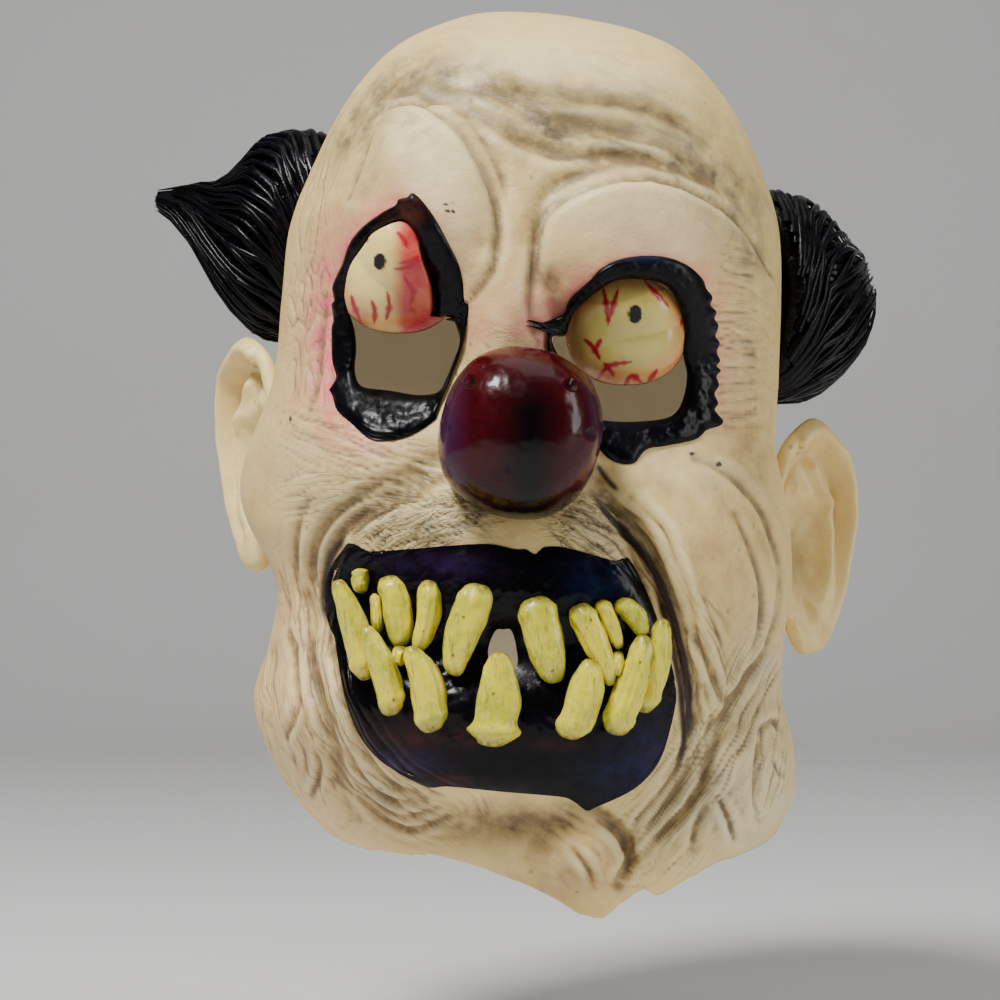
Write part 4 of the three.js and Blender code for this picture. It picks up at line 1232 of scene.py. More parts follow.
@dataclass
class Inlay:
    """A thick painted piece set into the face between an opening and an outline."""

    skin: Skin
    name: str
    hole: str
    edge: str
    lift: float
    columns: int
    rows: int
    lumps: float
    lump_size: float
    seed: int
    back_rows: int = 8

    def height(self, x: np.ndarray, down: np.ndarray, share: np.ndarray) -> np.ndarray:
        """Gives how far the piece stands out of the skin, in millimetres."""
        body = self.lift * (1 - np.abs(2 * share - 1) ** 3.5) + 0.3 * share**8
        brush = gradient_noise(x / self.lump_size, down / self.lump_size, self.seed)
        fine = gradient_noise(x * 2.6 / self.lump_size, down * 2.6 / self.lump_size, self.seed + 1)
        edge = self.skin.wrinkle(x, down) * np.clip((share - 0.5) / 0.4, 0, 1)
        return body + edge + self.lumps * (brush + 0.4 * fine) * np.sin(np.pi * share)

    def build(self) -> bpy.types.Object:
        """Builds the piece.

        Returns:
            The new object, with masks for its tints.
        """
        hole, edge, form = OUTLINES[self.hole], OUTLINES[self.edge], self.skin.form
        centre = hole.mean(0)
        angles = np.linspace(-np.pi, np.pi, self.columns, endpoint=False)
        inner, outer = radius_of(hole, centre, angles), radius_of(edge, centre, angles)
        rings = []
        over = [(share, False) for share in 0.5 - 0.5 * np.cos(np.linspace(0, np.pi, self.rows))]
        under = [(share, True) for share in np.linspace(0.985, 0.0, self.back_rows)]
        for share, behind in over + under:
            reach = inner + (outer - inner) * share
            x, down = centre[0] + np.cos(angles) * reach, centre[1] + np.sin(angles) * reach
            if not behind:
                away = -self.height(x, down, np.full(x.shape, share))
            elif self.edge == "mouth":
                away = (form.size.wall + 0.3) * np.clip((0.93 - share) / 0.04, 0, 1) + 0.6
            else:
                away = (form.size.wall + 0.5) * np.clip((0.6 - share) / 0.2, 0, 1) + 0.6
            rings.append(np.stack([x, form.front(x, down) + away, form.size.wall - down], 1))
        points, faces = loft(rings, None, None)
        return make_mesh(self.name, points, faces, self.paint(points))

    def paint(self, points: np.ndarray) -> dict[str, np.ndarray]:
        """Works out the painted purple and bluish highlights and the brown tints on the black, by place."""
        x, down = points[:, 0], self.skin.form.size.wall - points[:, 2]
        masks = {key: np.zeros(len(points)) for key in ("violet_highlight", "blue", "brown")}
        for key, column, row, wide, high, strength in HIGHLIGHTS_AND_TINTS:
            (at,) = on_face(((column, row),))
            masks[key] = np.maximum(masks[key], strength * mound(x, down, at, (wide, high)))
        return masks


# purple and bluish painted highlights and brown tints: tint, column and row in the picture, half width and
# half height in millimetres, strength
HIGHLIGHTS_AND_TINTS = (
    ("violet_highlight", 435, 565, 20, 4, 0.7),
    ("violet_highlight", 405, 765, 12, 5, 0.9),
    ("violet_highlight", 675, 640, 5, 9, 0.5),
    ("blue", 595, 580, 10, 7, 0.8),
    ("blue", 625, 770, 13, 8, 0.7),
    ("blue", 640, 745, 8, 8, 0.6),
    ("violet_highlight", 660, 760, 8, 8, 0.6),
    ("brown", 440, 738, 12, 3, 0.7),
    ("brown", 400, 735, 10, 4, 0.5),
    ("brown", 560, 742, 12, 2, 0.5),
    ("brown", 445, 780, 10, 2, 0.5),
    ("brown", 408, 212, 6, 5, 0.9),
    ("blue", 640, 258, 10, 2, 0.5),
    ("violet_highlight", 725, 330, 2, 14, 0.4),
    ("blue", 610, 425, 9, 3, 0.3),
)


# Teeth


@dataclass(frozen=True)
class Tooth:
    """One tooth: its root and tip in the picture, its width, and how far it bows sideways, in millimetres."""

    name: str
    root: Place
    tip: Place
    width: float
    bow: float = 0
    taper: float = 0.35
    collar: float = 0.1


TEETH = (
    Tooth("upper_tooth_1", (358, 570), (359, 594), 6.0, 0, 0.1),
    Tooth("upper_tooth_2", (373, 596), (377, 636), 4.2, -0.4, 0.2),
    Tooth("upper_tooth_3", (387, 577), (401, 648), 9.8, -1.2, 0.15),
    Tooth("upper_tooth_4", (430, 580), (418, 652), 7.6, -1.3, 0.25),
    Tooth("upper_tooth_5", (482, 584), (453, 674), 11.4, 1.0, 0.4),
    Tooth("upper_tooth_6", (534, 596), (556, 681), 12.6, 0.6, 0.4),
    Tooth("upper_tooth_7", (576, 604), (611, 684), 8.6, -0.8, 0.6),
    Tooth("upper_tooth_8", (599, 600), (619, 648), 5.6, -0.6, 0.5),
    Tooth("upper_tooth_9", (617, 600), (645, 635), 6.8, -1.2, 0.3),
    Tooth("lower_tooth_1", (367, 680), (337, 580), 9.0, 1.3, 0.3, 0.15),
    Tooth("lower_tooth_2", (394, 714), (366, 625), 8.8, 1.2, 0.4, 0.15),
    Tooth("lower_tooth_3", (399, 664), (401, 646), 5.2, 0, 0.1, 0),
    Tooth("lower_tooth_4", (433, 730), (410, 645), 10.4, 2.2, 0.5, 0.15),
    Tooth("lower_tooth_5", (491, 744), (499, 650), 13.2, 1.0, 0.4, 0.35),
    Tooth("lower_tooth_6", (566, 736), (591, 658), 11.2, 1.4, 0.3, 0.15),
    Tooth("lower_tooth_7", (616, 674), (618, 650), 4.2, 0, 0.2, 0),
    Tooth("lower_tooth_8", (612, 733), (644, 634), 10.2, 0.9, 0.3, 0.15),
    Tooth("lower_tooth_9", (642, 712), (663, 618), 8.4, 0.9, 0.3, 0.15),
)


class Signal:
    """A value that flows through a node tree and joins with others by plain arithmetic."""

    def __init__(self, graph: "Graph", socket: bpy.types.NodeSocket) -> None:
        """Keeps the graph and the socket."""
        self.graph, self.socket = graph, socket

    def __add__(self, other: "Value") -> "Signal":
        """Gives the sum."""
        return self.graph.math("ADD", self, other)

    def __sub__(self, other: "Value") -> "Signal":
        """Gives the difference."""
        return self.graph.math("SUBTRACT", self, other)

    def __rsub__(self, other: float) -> "Signal":
        """Gives a number less this value."""
        return self.graph.math("SUBTRACT", other, self)

    def __mul__(self, other: "Value") -> "Signal":
        """Gives the product."""
        return self.graph.math("MULTIPLY", self, other)

    def __pow__(self, other: "Value") -> "Signal":
        """Gives the power."""
        return self.graph.math("POWER", self, other)

    __radd__ = __add__
    __rmul__ = __mul__


Value = Signal | float | Colour


class Graph:
    """A thin hand for building node trees: it adds nodes and links whatever it is given."""

    def __init__(self, tree: bpy.types.NodeTree) -> None:
        """Keeps the tree."""
        self.tree = tree
        self.given: dict[str, Signal] = {}

    @classmethod
    def start(cls, name: str, kind: str, inputs: dict[str, str], output: str) -> "Graph":
        """Starts a tree of its own.

        Args:
            name: The tree's name.
            kind: The tree's type.
            inputs: The kind of each named input.
            output: The kind of its one output.

        Returns:
            The graph, with its inputs in `given`.
        """
        graph = cls(bpy.data.node_groups.new(name, kind))
        for key, socket in inputs.items():
            graph.tree.interface.new_socket(key, in_out="INPUT", socket_type=f"NodeSocket{socket}")
        graph.tree.interface.new_socket("Result", in_out="OUTPUT", socket_type=f"NodeSocket{output}")
        sockets = graph.add("NodeGroupInput").outputs
        graph.given = {key: Signal(graph, sockets[key]) for key in inputs}
        return graph

    def end(self, result: Value) -> bpy.types.NodeTree:
        """Links the result to the tree's output and gives the tree."""
        self.add("NodeGroupOutput", {0: result})
        return self.tree

    def put(self, socket: bpy.types.NodeSocket, value: Value) -> None:
        """Links a socket to a signal, or sets its value."""
        if isinstance(value, Signal):
            self.tree.links.new(value.socket, socket)
        elif isinstance(value, tuple) and socket.type == "RGBA":
            socket.default_value = (*value, 1)
        else:
            socket.default_value = value

    def add(self, kind: str, inputs: dict | None = None, **settings: object) -> bpy.types.Node:
        """Adds a node.

        Args:
            kind: The node's type.
            inputs: Values or signals for its inputs, by name or number.
            **settings: The node's own properties.

        Returns:
            The node.
        """
        node = self.tree.nodes.new(kind)
        for key, value in settings.items():
            setattr(node, key, value)
        for key, value in (inputs or {}).items():
            self.put(node.inputs[key], value)
        return node

    def out(self, kind: str, inputs: dict | None = None, pick: int | str = 0, **settings: object) -> Signal:
        """Adds a node and gives one of its outputs.

        Args:
            kind: The node's type.
            inputs: Values or signals for its inputs.
            pick: Which output.
            **settings: The node's own properties.

        Returns:
            The output.
        """
        return Signal(self, self.add(kind, inputs, **settings).outputs[pick])

    def math(self, operation: str, first: Value, second: Value = 0.0) -> Signal:
        """Adds a maths node."""
        return self.out("ShaderNodeMath", {0: first, 1: second}, operation=operation)

    def vector(self, operation: str, first: Value, second: Value = (0, 0, 0)) -> Signal:
        """Adds a vector maths node."""
        return self.out("ShaderNodeVectorMath", {0: first, 1: second}, operation=operation)

    def split(self, vector: Value) -> tuple[Signal, ...]:
        """Splits a vector into its parts."""
        return tuple(Signal(self, part) for part in self.add("ShaderNodeSeparateXYZ", {0: vector}).outputs)

    def between(
        self, value: Value, low: float, high: float, to_low: float = 0, to_high: float = 1
    ) -> Signal:
        """Maps a range of values onto another range, softly."""
        settings = {"Value": value, "From Min": low, "From Max": high, "To Min": to_low, "To Max": to_high}
        return self.out("ShaderNodeMapRange", settings, interpolation_type="SMOOTHSTEP")

    def noise(
        self, vector: Value, scale: Value, detail: float = 3, rough: float = 0.55, warp: float = 0
    ) -> Signal:
        """Adds a noise."""
        settings = {"Vector": vector, "Scale": scale, "Detail": detail}
        return self.out("ShaderNodeTexNoise", {**settings, "Roughness": rough, "Distortion": warp})

    def seeded(self, vector: Value, seed: Value, scale: float, detail: float, pick: int | str = 0) -> Signal:
        """Adds a noise that a seed changes."""
        settings = {"Vector": vector, "W": seed, "Scale": scale, "Detail": detail}
        return self.out("ShaderNodeTexNoise", settings, pick, noise_dimensions="4D")

    def veins(self, vector: Value, scale: float, detail: float, warp: float, width: float) -> Signal:
        """Adds thin winding lines."""
        off = self.math("ABSOLUTE", self.noise(vector, scale, detail, 0.55, warp) - 0.5)
        return self.between(off, 0.0, width, 1, 0)

    def blend(self, factor: Value, first: Value, second: Value) -> Signal:
        """Mixes two colours."""
        return self.out("ShaderNodeMix", {0: factor, 6: first, 7: second}, 2, data_type="RGBA")

    def mask(self, name: str) -> Signal:
        """Reads a painted mask from the points."""
        return self.out("ShaderNodeAttribute", None, "Fac", attribute_name=name)

    def place(self) -> Signal:
        """Gives the place on the object, in metres."""
        return self.out("ShaderNodeTexCoord", None, "Object")


def tooth_tree() -> bpy.types.NodeTree:
    """Builds the Geometry Nodes tree for a tooth that runs from a root to a tip."""
    floats = ("Width", "Thickness", "Bow", "Taper", "Collar", "Squareness", "Roughness", "Seed")
    inputs = {"Geometry": "Geometry", "Root": "Vector", "Tip": "Vector", **dict.fromkeys(floats, "Float")}
    inputs |= {"Fineness": "Int", "Material": "Material"}
    graph = Graph.start("tooth", "GeometryNodeTree", inputs, "Geometry")
    given = graph.given
    ball = graph.out("GeometryNodeMeshUVSphere", {"Segments": given["Fineness"], "Rings": given["Fineness"]})
    place = graph.out("GeometryNodeInputPosition")
    x, y, z = graph.split(place)
    share = z * 0.5 + 0.5
    round_end = graph.math("MAXIMUM", graph.math("SQRT", 1.0 - z * z), 0.02)
    ring = (share - 0.16) * 14.0
    collar = 1.0 + given["Collar"] * graph.math("EXPONENT", ring * ring * -1.0)
    grooves = graph.seeded(graph.vector("MULTIPLY", place, (3.2, 1.3, 0.35)), given["Seed"], 1.0, 4.0)
    lumps = graph.seeded(place, given["Seed"], 1.1, 1.0)
    girth = round_end ** (given["Squareness"] - 1.0) * (1.0 - given["Taper"] * (share - 0.45)) * collar
    girth = girth * (1.0 + (grooves - 0.5) * given["Roughness"] + (lumps - 0.5) * 0.5)
    bend = graph.math("SINE", share * math.pi) * given["Bow"]
    line = graph.vector("SUBTRACT", given["Tip"], given["Root"])
    length = graph.out("ShaderNodeVectorMath", {0: line}, "Value", operation="LENGTH")
    across, through = x * girth * given["Width"] * 0.5 + bend, y * girth * given["Thickness"] * 0.5
    sizes = {0: across, 1: through, 2: z * length * 0.5}
    kept = {"Geometry": ball, "Name": "share", "Value": share}
    ball = graph.out("GeometryNodeStoreNamedAttribute", kept, data_type="FLOAT", domain="POINT")
    shaped = {"Geometry": ball, "Position": graph.out("ShaderNodeCombineXYZ", sizes)}
    tooth = graph.out("GeometryNodeSetPosition", shaped)
    axes = {"primary_axis": "Z", "secondary_axis": "Y"}
    turn = graph.out("FunctionNodeAxesToRotation", {0: line, 1: (0, 1, 0)}, **axes)
    middle = graph.vector("MULTIPLY", graph.vector("ADD", given["Tip"], given["Root"]), (0.5, 0.5, 0.5))
    tooth = graph.out("GeometryNodeTransform", {"Geometry": tooth, "Translation": middle, "Rotation": turn})
    return finish_tree(graph, tooth)


def lock_tree() -> bpy.types.NodeTree:
    """Builds the Geometry Nodes tree that turns guide lines into thick ridged locks of hair."""
    inputs = {"Geometry": "Geometry", "Around": "Int", "Ridge Depth": "Float", "Waviness": "Float"}
    inputs |= {"Seed": "Float", "Material": "Material"}
    graph = Graph.start("hair_locks", "GeometryNodeTree", inputs, "Geometry")
    given = graph.given
    thick = graph.out("GeometryNodeInputNamedAttribute", {"Name": "thick"}, data_type="FLOAT")
    curve = graph.out("GeometryNodeMeshToCurve", {"Mesh": given["Geometry"]})
    sized = graph.out("GeometryNodeSetCurveRadius", {"Curve": curve, "Radius": thick})
    circle = graph.out("GeometryNodeCurvePrimitiveCircle", {"Resolution": given["Around"], "Radius": 1.0})
    place = graph.out("GeometryNodeInputPosition")
    x, y, _ = graph.split(place)
    scale = 1.0 + graph.math("SINE", graph.math("ARCTAN2", y, x) * 5.0) * given["Ridge Depth"]
    ridged = graph.out("ShaderNodeVectorMath", {0: place, "Scale": scale}, operation="SCALE")
    star = graph.out("GeometryNodeSetPosition", {"Geometry": circle, "Position": ridged})
    skin = graph.add("GeometryNodeCurveToMesh", {"Curve": sized, "Profile Curve": star, "Fill Caps": True})
    if "Scale" in skin.inputs:
        graph.put(skin.inputs["Scale"], graph.out("GeometryNodeInputRadius"))
    waves = graph.vector("SUBTRACT", graph.seeded(place, given["Seed"], 160.0, 3.0, "Color"), (0.5, 0.5, 0.5))
    shift = graph.out("ShaderNodeVectorMath", {0: waves, "Scale": given["Waviness"]}, operation="SCALE")
    moved = {"Geometry": Signal(graph, skin.outputs[0]), "Offset": shift}
    wavy = graph.out("GeometryNodeSetPosition", moved)
    return finish_tree(graph, graph.out("GeometryNodeSetShadeSmooth", {"Geometry": wavy}))


def finish_tree(graph: Graph, shape: Signal) -> bpy.types.NodeTree:
    """Ends a Geometry Nodes tree with real geometry in its material."""
    real = graph.out("GeometryNodeRealizeInstances", {"Geometry": shape})
    painted = {"Geometry": real, "Material": graph.given["Material"]}
    return graph.end(graph.out("GeometryNodeSetMaterial", painted))


def grow(name: str, mesh: bpy.types.Mesh, tree: bpy.types.NodeTree, values: dict) -> bpy.types.Object:
    """Runs a Geometry Nodes tree once and keeps only its result.

    Args:
        name: The new object's name.
        mesh: The mesh that the tree starts from.
        tree: The tree.
        values: Its inputs by name.

    Returns:
        The object, with a plain mesh and no modifier.
    """
    piece = bpy.data.objects.new(name, mesh)
    bpy.context.scene.collection.objects.link(piece)
    modifier = piece.modifiers.new("grow", "NODES")
    modifier.node_group = tree
    for item in tree.interface.items_tree:
        if item.in_out == "INPUT" and item.name in values:
            modifier[item.identifier] = values[item.name]
    graph = bpy.context.evaluated_depsgraph_get()
    made = bpy.data.meshes.new_from_object(piece.evaluated_get(graph), depsgraph=graph)
    piece.modifiers.remove(modifier)
    piece.data = made
    made.name = name
    return piece


def points_of(mesh: bpy.types.Mesh) -> np.ndarray:
    """Reads a mesh's points, in millimetres."""
    flat = np.empty(len(mesh.vertices) * 3)
    mesh.vertices.foreach_get("co", flat)
    return flat.reshape(-1, 3) / MM


def set_points(mesh: bpy.types.Mesh, points: np.ndarray) -> None:
    """Writes a mesh's points, in millimetres."""
    mesh.vertices.foreach_set("co", (points * MM).astype(np.float32).ravel())
    mesh.update()


@dataclass
class Dentition:
    """The two rows of teeth."""

    form: HeadForm
    lip_raise: float = 1.2
    thickness: float = 10
    flare: float = 1.5
    fullness: float = 1.0
    sunk: float = 1.0
    fineness: int = 48

    def build(self, material: bpy.types.Material) -> None:
        """Makes every tooth from one tree.

        Args:
            material: The teeth's material.
        """
        tree = tooth_tree()
        wall = self.form.size.wall
        for number, tooth in enumerate(TEETH):
            ends = np.array(on_face((tooth.root, tooth.tip)))
            depth = self.form.front(ends[:, 0], ends[:, 1]) - self.lip_raise
            root = Vector((ends[0, 0], depth[0], wall - ends[0, 1])) * MM
            tip = Vector((ends[1, 0], min(depth) - self.flare, wall - ends[1, 1])) * MM
            middle, reach = (root + tip) / 2, (tip - root) / 2 * self.fullness
            values = {
                "Root": middle - reach,
                "Tip": middle + reach,
                "Width": tooth.width * self.fullness * MM,
                "Thickness": self.thickness * MM,
                "Bow": tooth.bow * MM,
                "Taper": tooth.taper,
                "Collar": tooth.collar,
                "Squareness": 0.62,
                "Roughness": 0.5,
                "Seed": 3.7 * number,
                "Fineness": self.fineness,
                "Material": material,
            }
            piece = grow(f"painted_{tooth.name}", bpy.data.meshes.new("start"), tree, values)
            points = points_of(piece.data)
            gum = self.form.front(points[:, 0], wall - points[:, 2]) - self.lip_raise + self.sunk
            points[:, 1] = np.minimum(points[:, 1], gum)
            set_points(piece.data, points)
            piece.data.shade_smooth()
            dress(piece, material, (tooth.name,))


# Nose and eyeballs


def dome(
    size: tuple[float, float, float], around: int, over: int, squareness: float
) -> tuple[np.ndarray, list]:
    """Makes a closed egg about the origin with its poles at top and bottom.

    Args:
        size: Its full sizes, in millimetres.
        around: Points round it.
        over: Rings from pole to pole.
        squareness: 2 for an ellipsoid, more for a fuller shape.

    Returns:
        The points and the faces.
    """
    power = 2 / squareness
    turn = np.linspace(0, 2 * np.pi, around, endpoint=False)
    rings = []
    for level in np.linspace(np.pi / 2, -np.pi / 2, over + 2)[1:-1]:
        flat, up = math.cos(level) ** power, math.copysign(abs(math.sin(level)) ** power, level)
        x = np.sign(np.cos(turn)) * np.abs(np.cos(turn)) ** power * flat
        y = np.sign(np.sin(turn)) * np.abs(np.sin(turn)) ** power * flat
        rings.append(np.stack([x, y, np.full(around, up)], 1) * np.array(size) / 2)
    top, bottom = np.array([0, 0, size[2] / 2]), np.array([0, 0, -size[2] / 2])
    points, faces = loft(rings, top, bottom)
    return points, faces


@dataclass
class Nose:
    """The round nose with its dents."""

    form: HeadForm
    seat: tuple[float, float] = (-3.35, 146.4)
    size: tuple[float, float, float] = (50, 56, 53)
    sink: float = 9
    lean: float = 0.25
    # column and row in the picture, and radius and depth in millimetres, of each ring-shaped dent
    dents: tuple = (
        (472, 385, 2.0, 0.9),
        (569, 388, 1.9, 0.9),
        (509, 470, 1.7, 0.5),
        (452, 430, 1.2, 0.3),
        (588, 435, 1.9, 0.35),
        (545, 352, 1.0, 0.3),
    )

    def build(self) -> bpy.types.Object:
        """Builds the nose.

        Returns:
            The new object.
        """
        fine = ((230, 160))
        points, faces = dome(self.size, *fine, 2.3)
        points = turned(points, 1, self.lean)
        outwards = points / (np.array(self.size) / 2) ** 2
        outwards /= np.linalg.norm(outwards, axis=1, keepdims=True)
        middle = self.form.front(np.array([self.seat[0]]), np.array([self.seat[1]]))[0] - self.sink
        centre = np.array([self.seat[0], middle, self.form.size.wall - self.seat[1]])
        points += centre
        x, down = points[:, 0], self.form.size.wall - points[:, 2]
        height = 0.3 * gradient_noise(x / 11, down / 11, 41)
        height += 0.07 * gradient_noise(x / 2.5, down / 2.5, 42)
        pit = np.zeros(len(points))
        for column, row, radius, depth in self.dents:
            (right, level), = on_face(((column, row),))
            angle = np.arctan2(down - level, x - right)
            wobble = 1 + 0.08 * np.sin(3 * angle + right)
            reach = np.hypot(x - right, down - level) / (radius * wobble)
            height += depth * (0.2 * hill(reach, 1.2, 0.25) - hill(reach, 0, 0.85, 4))
            pit = np.maximum(pit, hill(reach, 0, 0.95, 6))
        middle_line = np.exp(-(((x - centre[0] - 0.1 * (down - self.seat[1])) / 4) ** 2))
        height -= 0.5 * middle_line * np.clip(1 - ((down - self.seat[1]) / 24) ** 2, 0, 1)
        points += outwards * height[:, None] * (points[:, 1] < centre[1])[:, None]
        skin = self.form.front(points[:, 0], self.form.size.wall - points[:, 2]) + 0.9
        points[:, 1] = np.minimum(points[:, 1], skin)
        black = np.exp(-(((x - centre[0] - 3) / 9) ** 2)) * np.clip((down - 122) / 18, 0, 1)
        black = np.maximum(black, np.clip((down - 158) / 14, 0, 1))
        # side places painted purple highlights down both edges; pit darkens the dents as painted shade
        masks = {"pit": pit, "middle": black, "side": np.clip((x - centre[0]) / 25 * 0.5 + 0.5, 0, 1)}
        return make_mesh("nose", points, faces, masks)


@dataclass(frozen=True)
class EyeShape:
    """One eyeball: its half sizes are in millimetres, and its places are in the picture's pixels."""

    name: str
    opening: str
    middle: Place
    half: Place
    pupil: Place
    pupil_half: Place
    strokes: tuple[Reading, ...]
    # column, row, half width, half height and strength of each soft red patch
    patches: tuple
    pink_side: float


EYES = (
    EyeShape(
        "left_eyeball",
        "left_opening",
        (397, 265),
        (20.5, 20.0),
        (379, 260),
        (2.0, 2.5),
        (
            ((394, 268), (408, 266), (429, 254)),
            ((400, 262), (414, 259), (428, 249)),
            ((370, 298), (373, 308), (372, 320)),
            ((386, 290), (388, 304), (384, 318)),
            ((349, 292), (352, 304), (358, 318)),
            ((404, 276), (412, 290), (408, 304)),
            ((396, 230), (403, 238), (408, 248)),
            ((360, 224), (364, 230), (366, 240)),
        ),
        ((418, 262, 6, 6, 0.75), (402, 302, 5, 6, 0.6), (352, 316, 5, 2.5, 0.6), (412, 238, 4, 5, 0.6)),
        1,
    ),
    EyeShape(
        "right_eyeball",
        "right_opening",
        (629, 327),
        (19.3, 17.2),
        (636, 313),
        (2.2, 2.8),
        (
            ((604, 286), (607, 304), (609, 323)),
            ((619, 288), (614, 304), (610, 321)),
            ((646, 277), (656, 290), (671, 305)),
            ((650, 276), (660, 281), (668, 288)),
            ((682, 288), (689, 302), (684, 322)),
            ((585, 337), (594, 345), (602, 358)),
            ((603, 337), (599, 343), (596, 350)),
            ((599, 377), (611, 364), (633, 360)),
            ((605, 361), (610, 366), (616, 374)),
            ((627, 383), (634, 374), (645, 380)),
            ((651, 379), (656, 373), (660, 367)),
            ((578, 300), (584, 294), (592, 290)),
        ),
        ((590, 300, 4, 4, 0.35), (612, 372, 4, 2, 0.45), (684, 300, 2.5, 6, 0.5)),
        0,
    ),
)


@dataclass
class Eyeball:
    """A painted half dome behind an eye opening."""

    form: HeadForm
    shape: EyeShape
    length: float = 30
    sink: float = 8.5
    back: float = 5

    def build(self) -> bpy.types.Object:
        """Builds the eyeball.

        Returns:
            The new object, with masks for its paint.
        """
        fine = ((220, 170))
        size = (2 * self.shape.half[0], self.length, 2 * self.shape.half[1])
        points, faces = dome(size, *fine, 2.25)
        (right, level), pupil_at = on_face((self.shape.middle, self.shape.pupil))
        depth = self.form.front(np.array([right]), np.array([level]))[0] + self.sink
        points += np.array([right, depth, self.form.size.wall - level])
        x, down = points[:, 0], self.form.size.wall - points[:, 2]
        front = points[:, 1] < depth
        red, raised = np.zeros(len(points)), np.zeros(len(points))
        for line in self.shape.strokes:
            guide = Guide(on_face(line), 24)
            signed, share = guide.measure(x, down)
            ragged = 0.75 + 0.5 * gradient_noise(share * guide.length / 2, share * 0, 51)
            brush = 1.3 * np.sqrt(np.sin(np.pi * np.clip(share, 0.02, 0.98))) * ragged
            red = np.maximum(red, np.exp(-((signed / brush) ** 4)))
            raised = np.maximum(raised, np.exp(-((signed / 1.0) ** 2)))
        patch = np.zeros(len(points))
        for column, row, wide, high, strength in self.shape.patches:
            (at,) = on_face(((column, row),))
            patch = np.maximum(patch, strength * mound(x, down, at, (wide, high)))
        spot = ((x - pupil_at[0]) / self.shape.pupil_half[0]) ** 2
        spot += ((down - pupil_at[1]) / self.shape.pupil_half[1]) ** 2
        pupil = np.clip((1.15 - spot) / 0.2, 0, 1)
        points[:, 1] -= front * (0.12 * raised * red + 0.08 * np.exp(-(spot**2)))
        points[:, 1] -= front * 0.15 * gradient_noise(x / 5, down / 5, 52)
        opening = OUTLINES[self.shape.opening]
        beyond, _ = nearest(x, down, np.vstack([opening[::4], opening[:1]]))
        beyond = np.abs(beyond) * np.where(inside_loop(x, down, opening), -1, 1)
        level_here = self.form.front(x, down)
        points[:, 1] += front * np.clip(level_here - level_here[front].mean(), -7, 4) * 0.6
        points[:, 1] = np.minimum(points[:, 1], depth + self.back)
        under = np.clip((beyond + 0.3) / 0.6, 0, 1)
        skin = level_here + 1.2 + 3.2 * np.clip((beyond - 0.6) / 1.4, 0, 1)
        points[:, 1] += under * np.maximum(skin - points[:, 1], 0)
        spread = np.hypot((x - right) / self.shape.half[0], (down - level) / self.shape.half[1])
        side = np.clip((x - right) / self.shape.half[0] * 0.6 + 0.5, 0, 1)
        rim = np.clip((spread - 0.6) / 0.4, 0, 1)
        pink = np.maximum(
            np.clip((side - 0.44) / 0.12, 0, 1), 0.45 * rim
        ) if self.shape.pink_side else 0.6 * rim
        masks = {
            "red": np.maximum(red, patch) * front, "pupil": pupil * front, "pink": pink,
            "green": np.full(len(x), 1 - self.shape.pink_side),
        }
        return make_mesh(self.shape.name, points, faces, masks)


# Ears and hair


@dataclass(frozen=True)
class EarPlace:
    """Where an ear is rooted, how far it is swept back and tipped over in degrees, in shares and degrees."""

    name: str
    side: int
    drop: float
    sweep: float
    tip: float
    forward: float
    inset: float


EARS = (
    EarPlace("left_ear", -1, 0.5, 58, 6, -4, 3.5),
    EarPlace("right_ear", 1, 0.6, 42, 2, 0, 0),
)


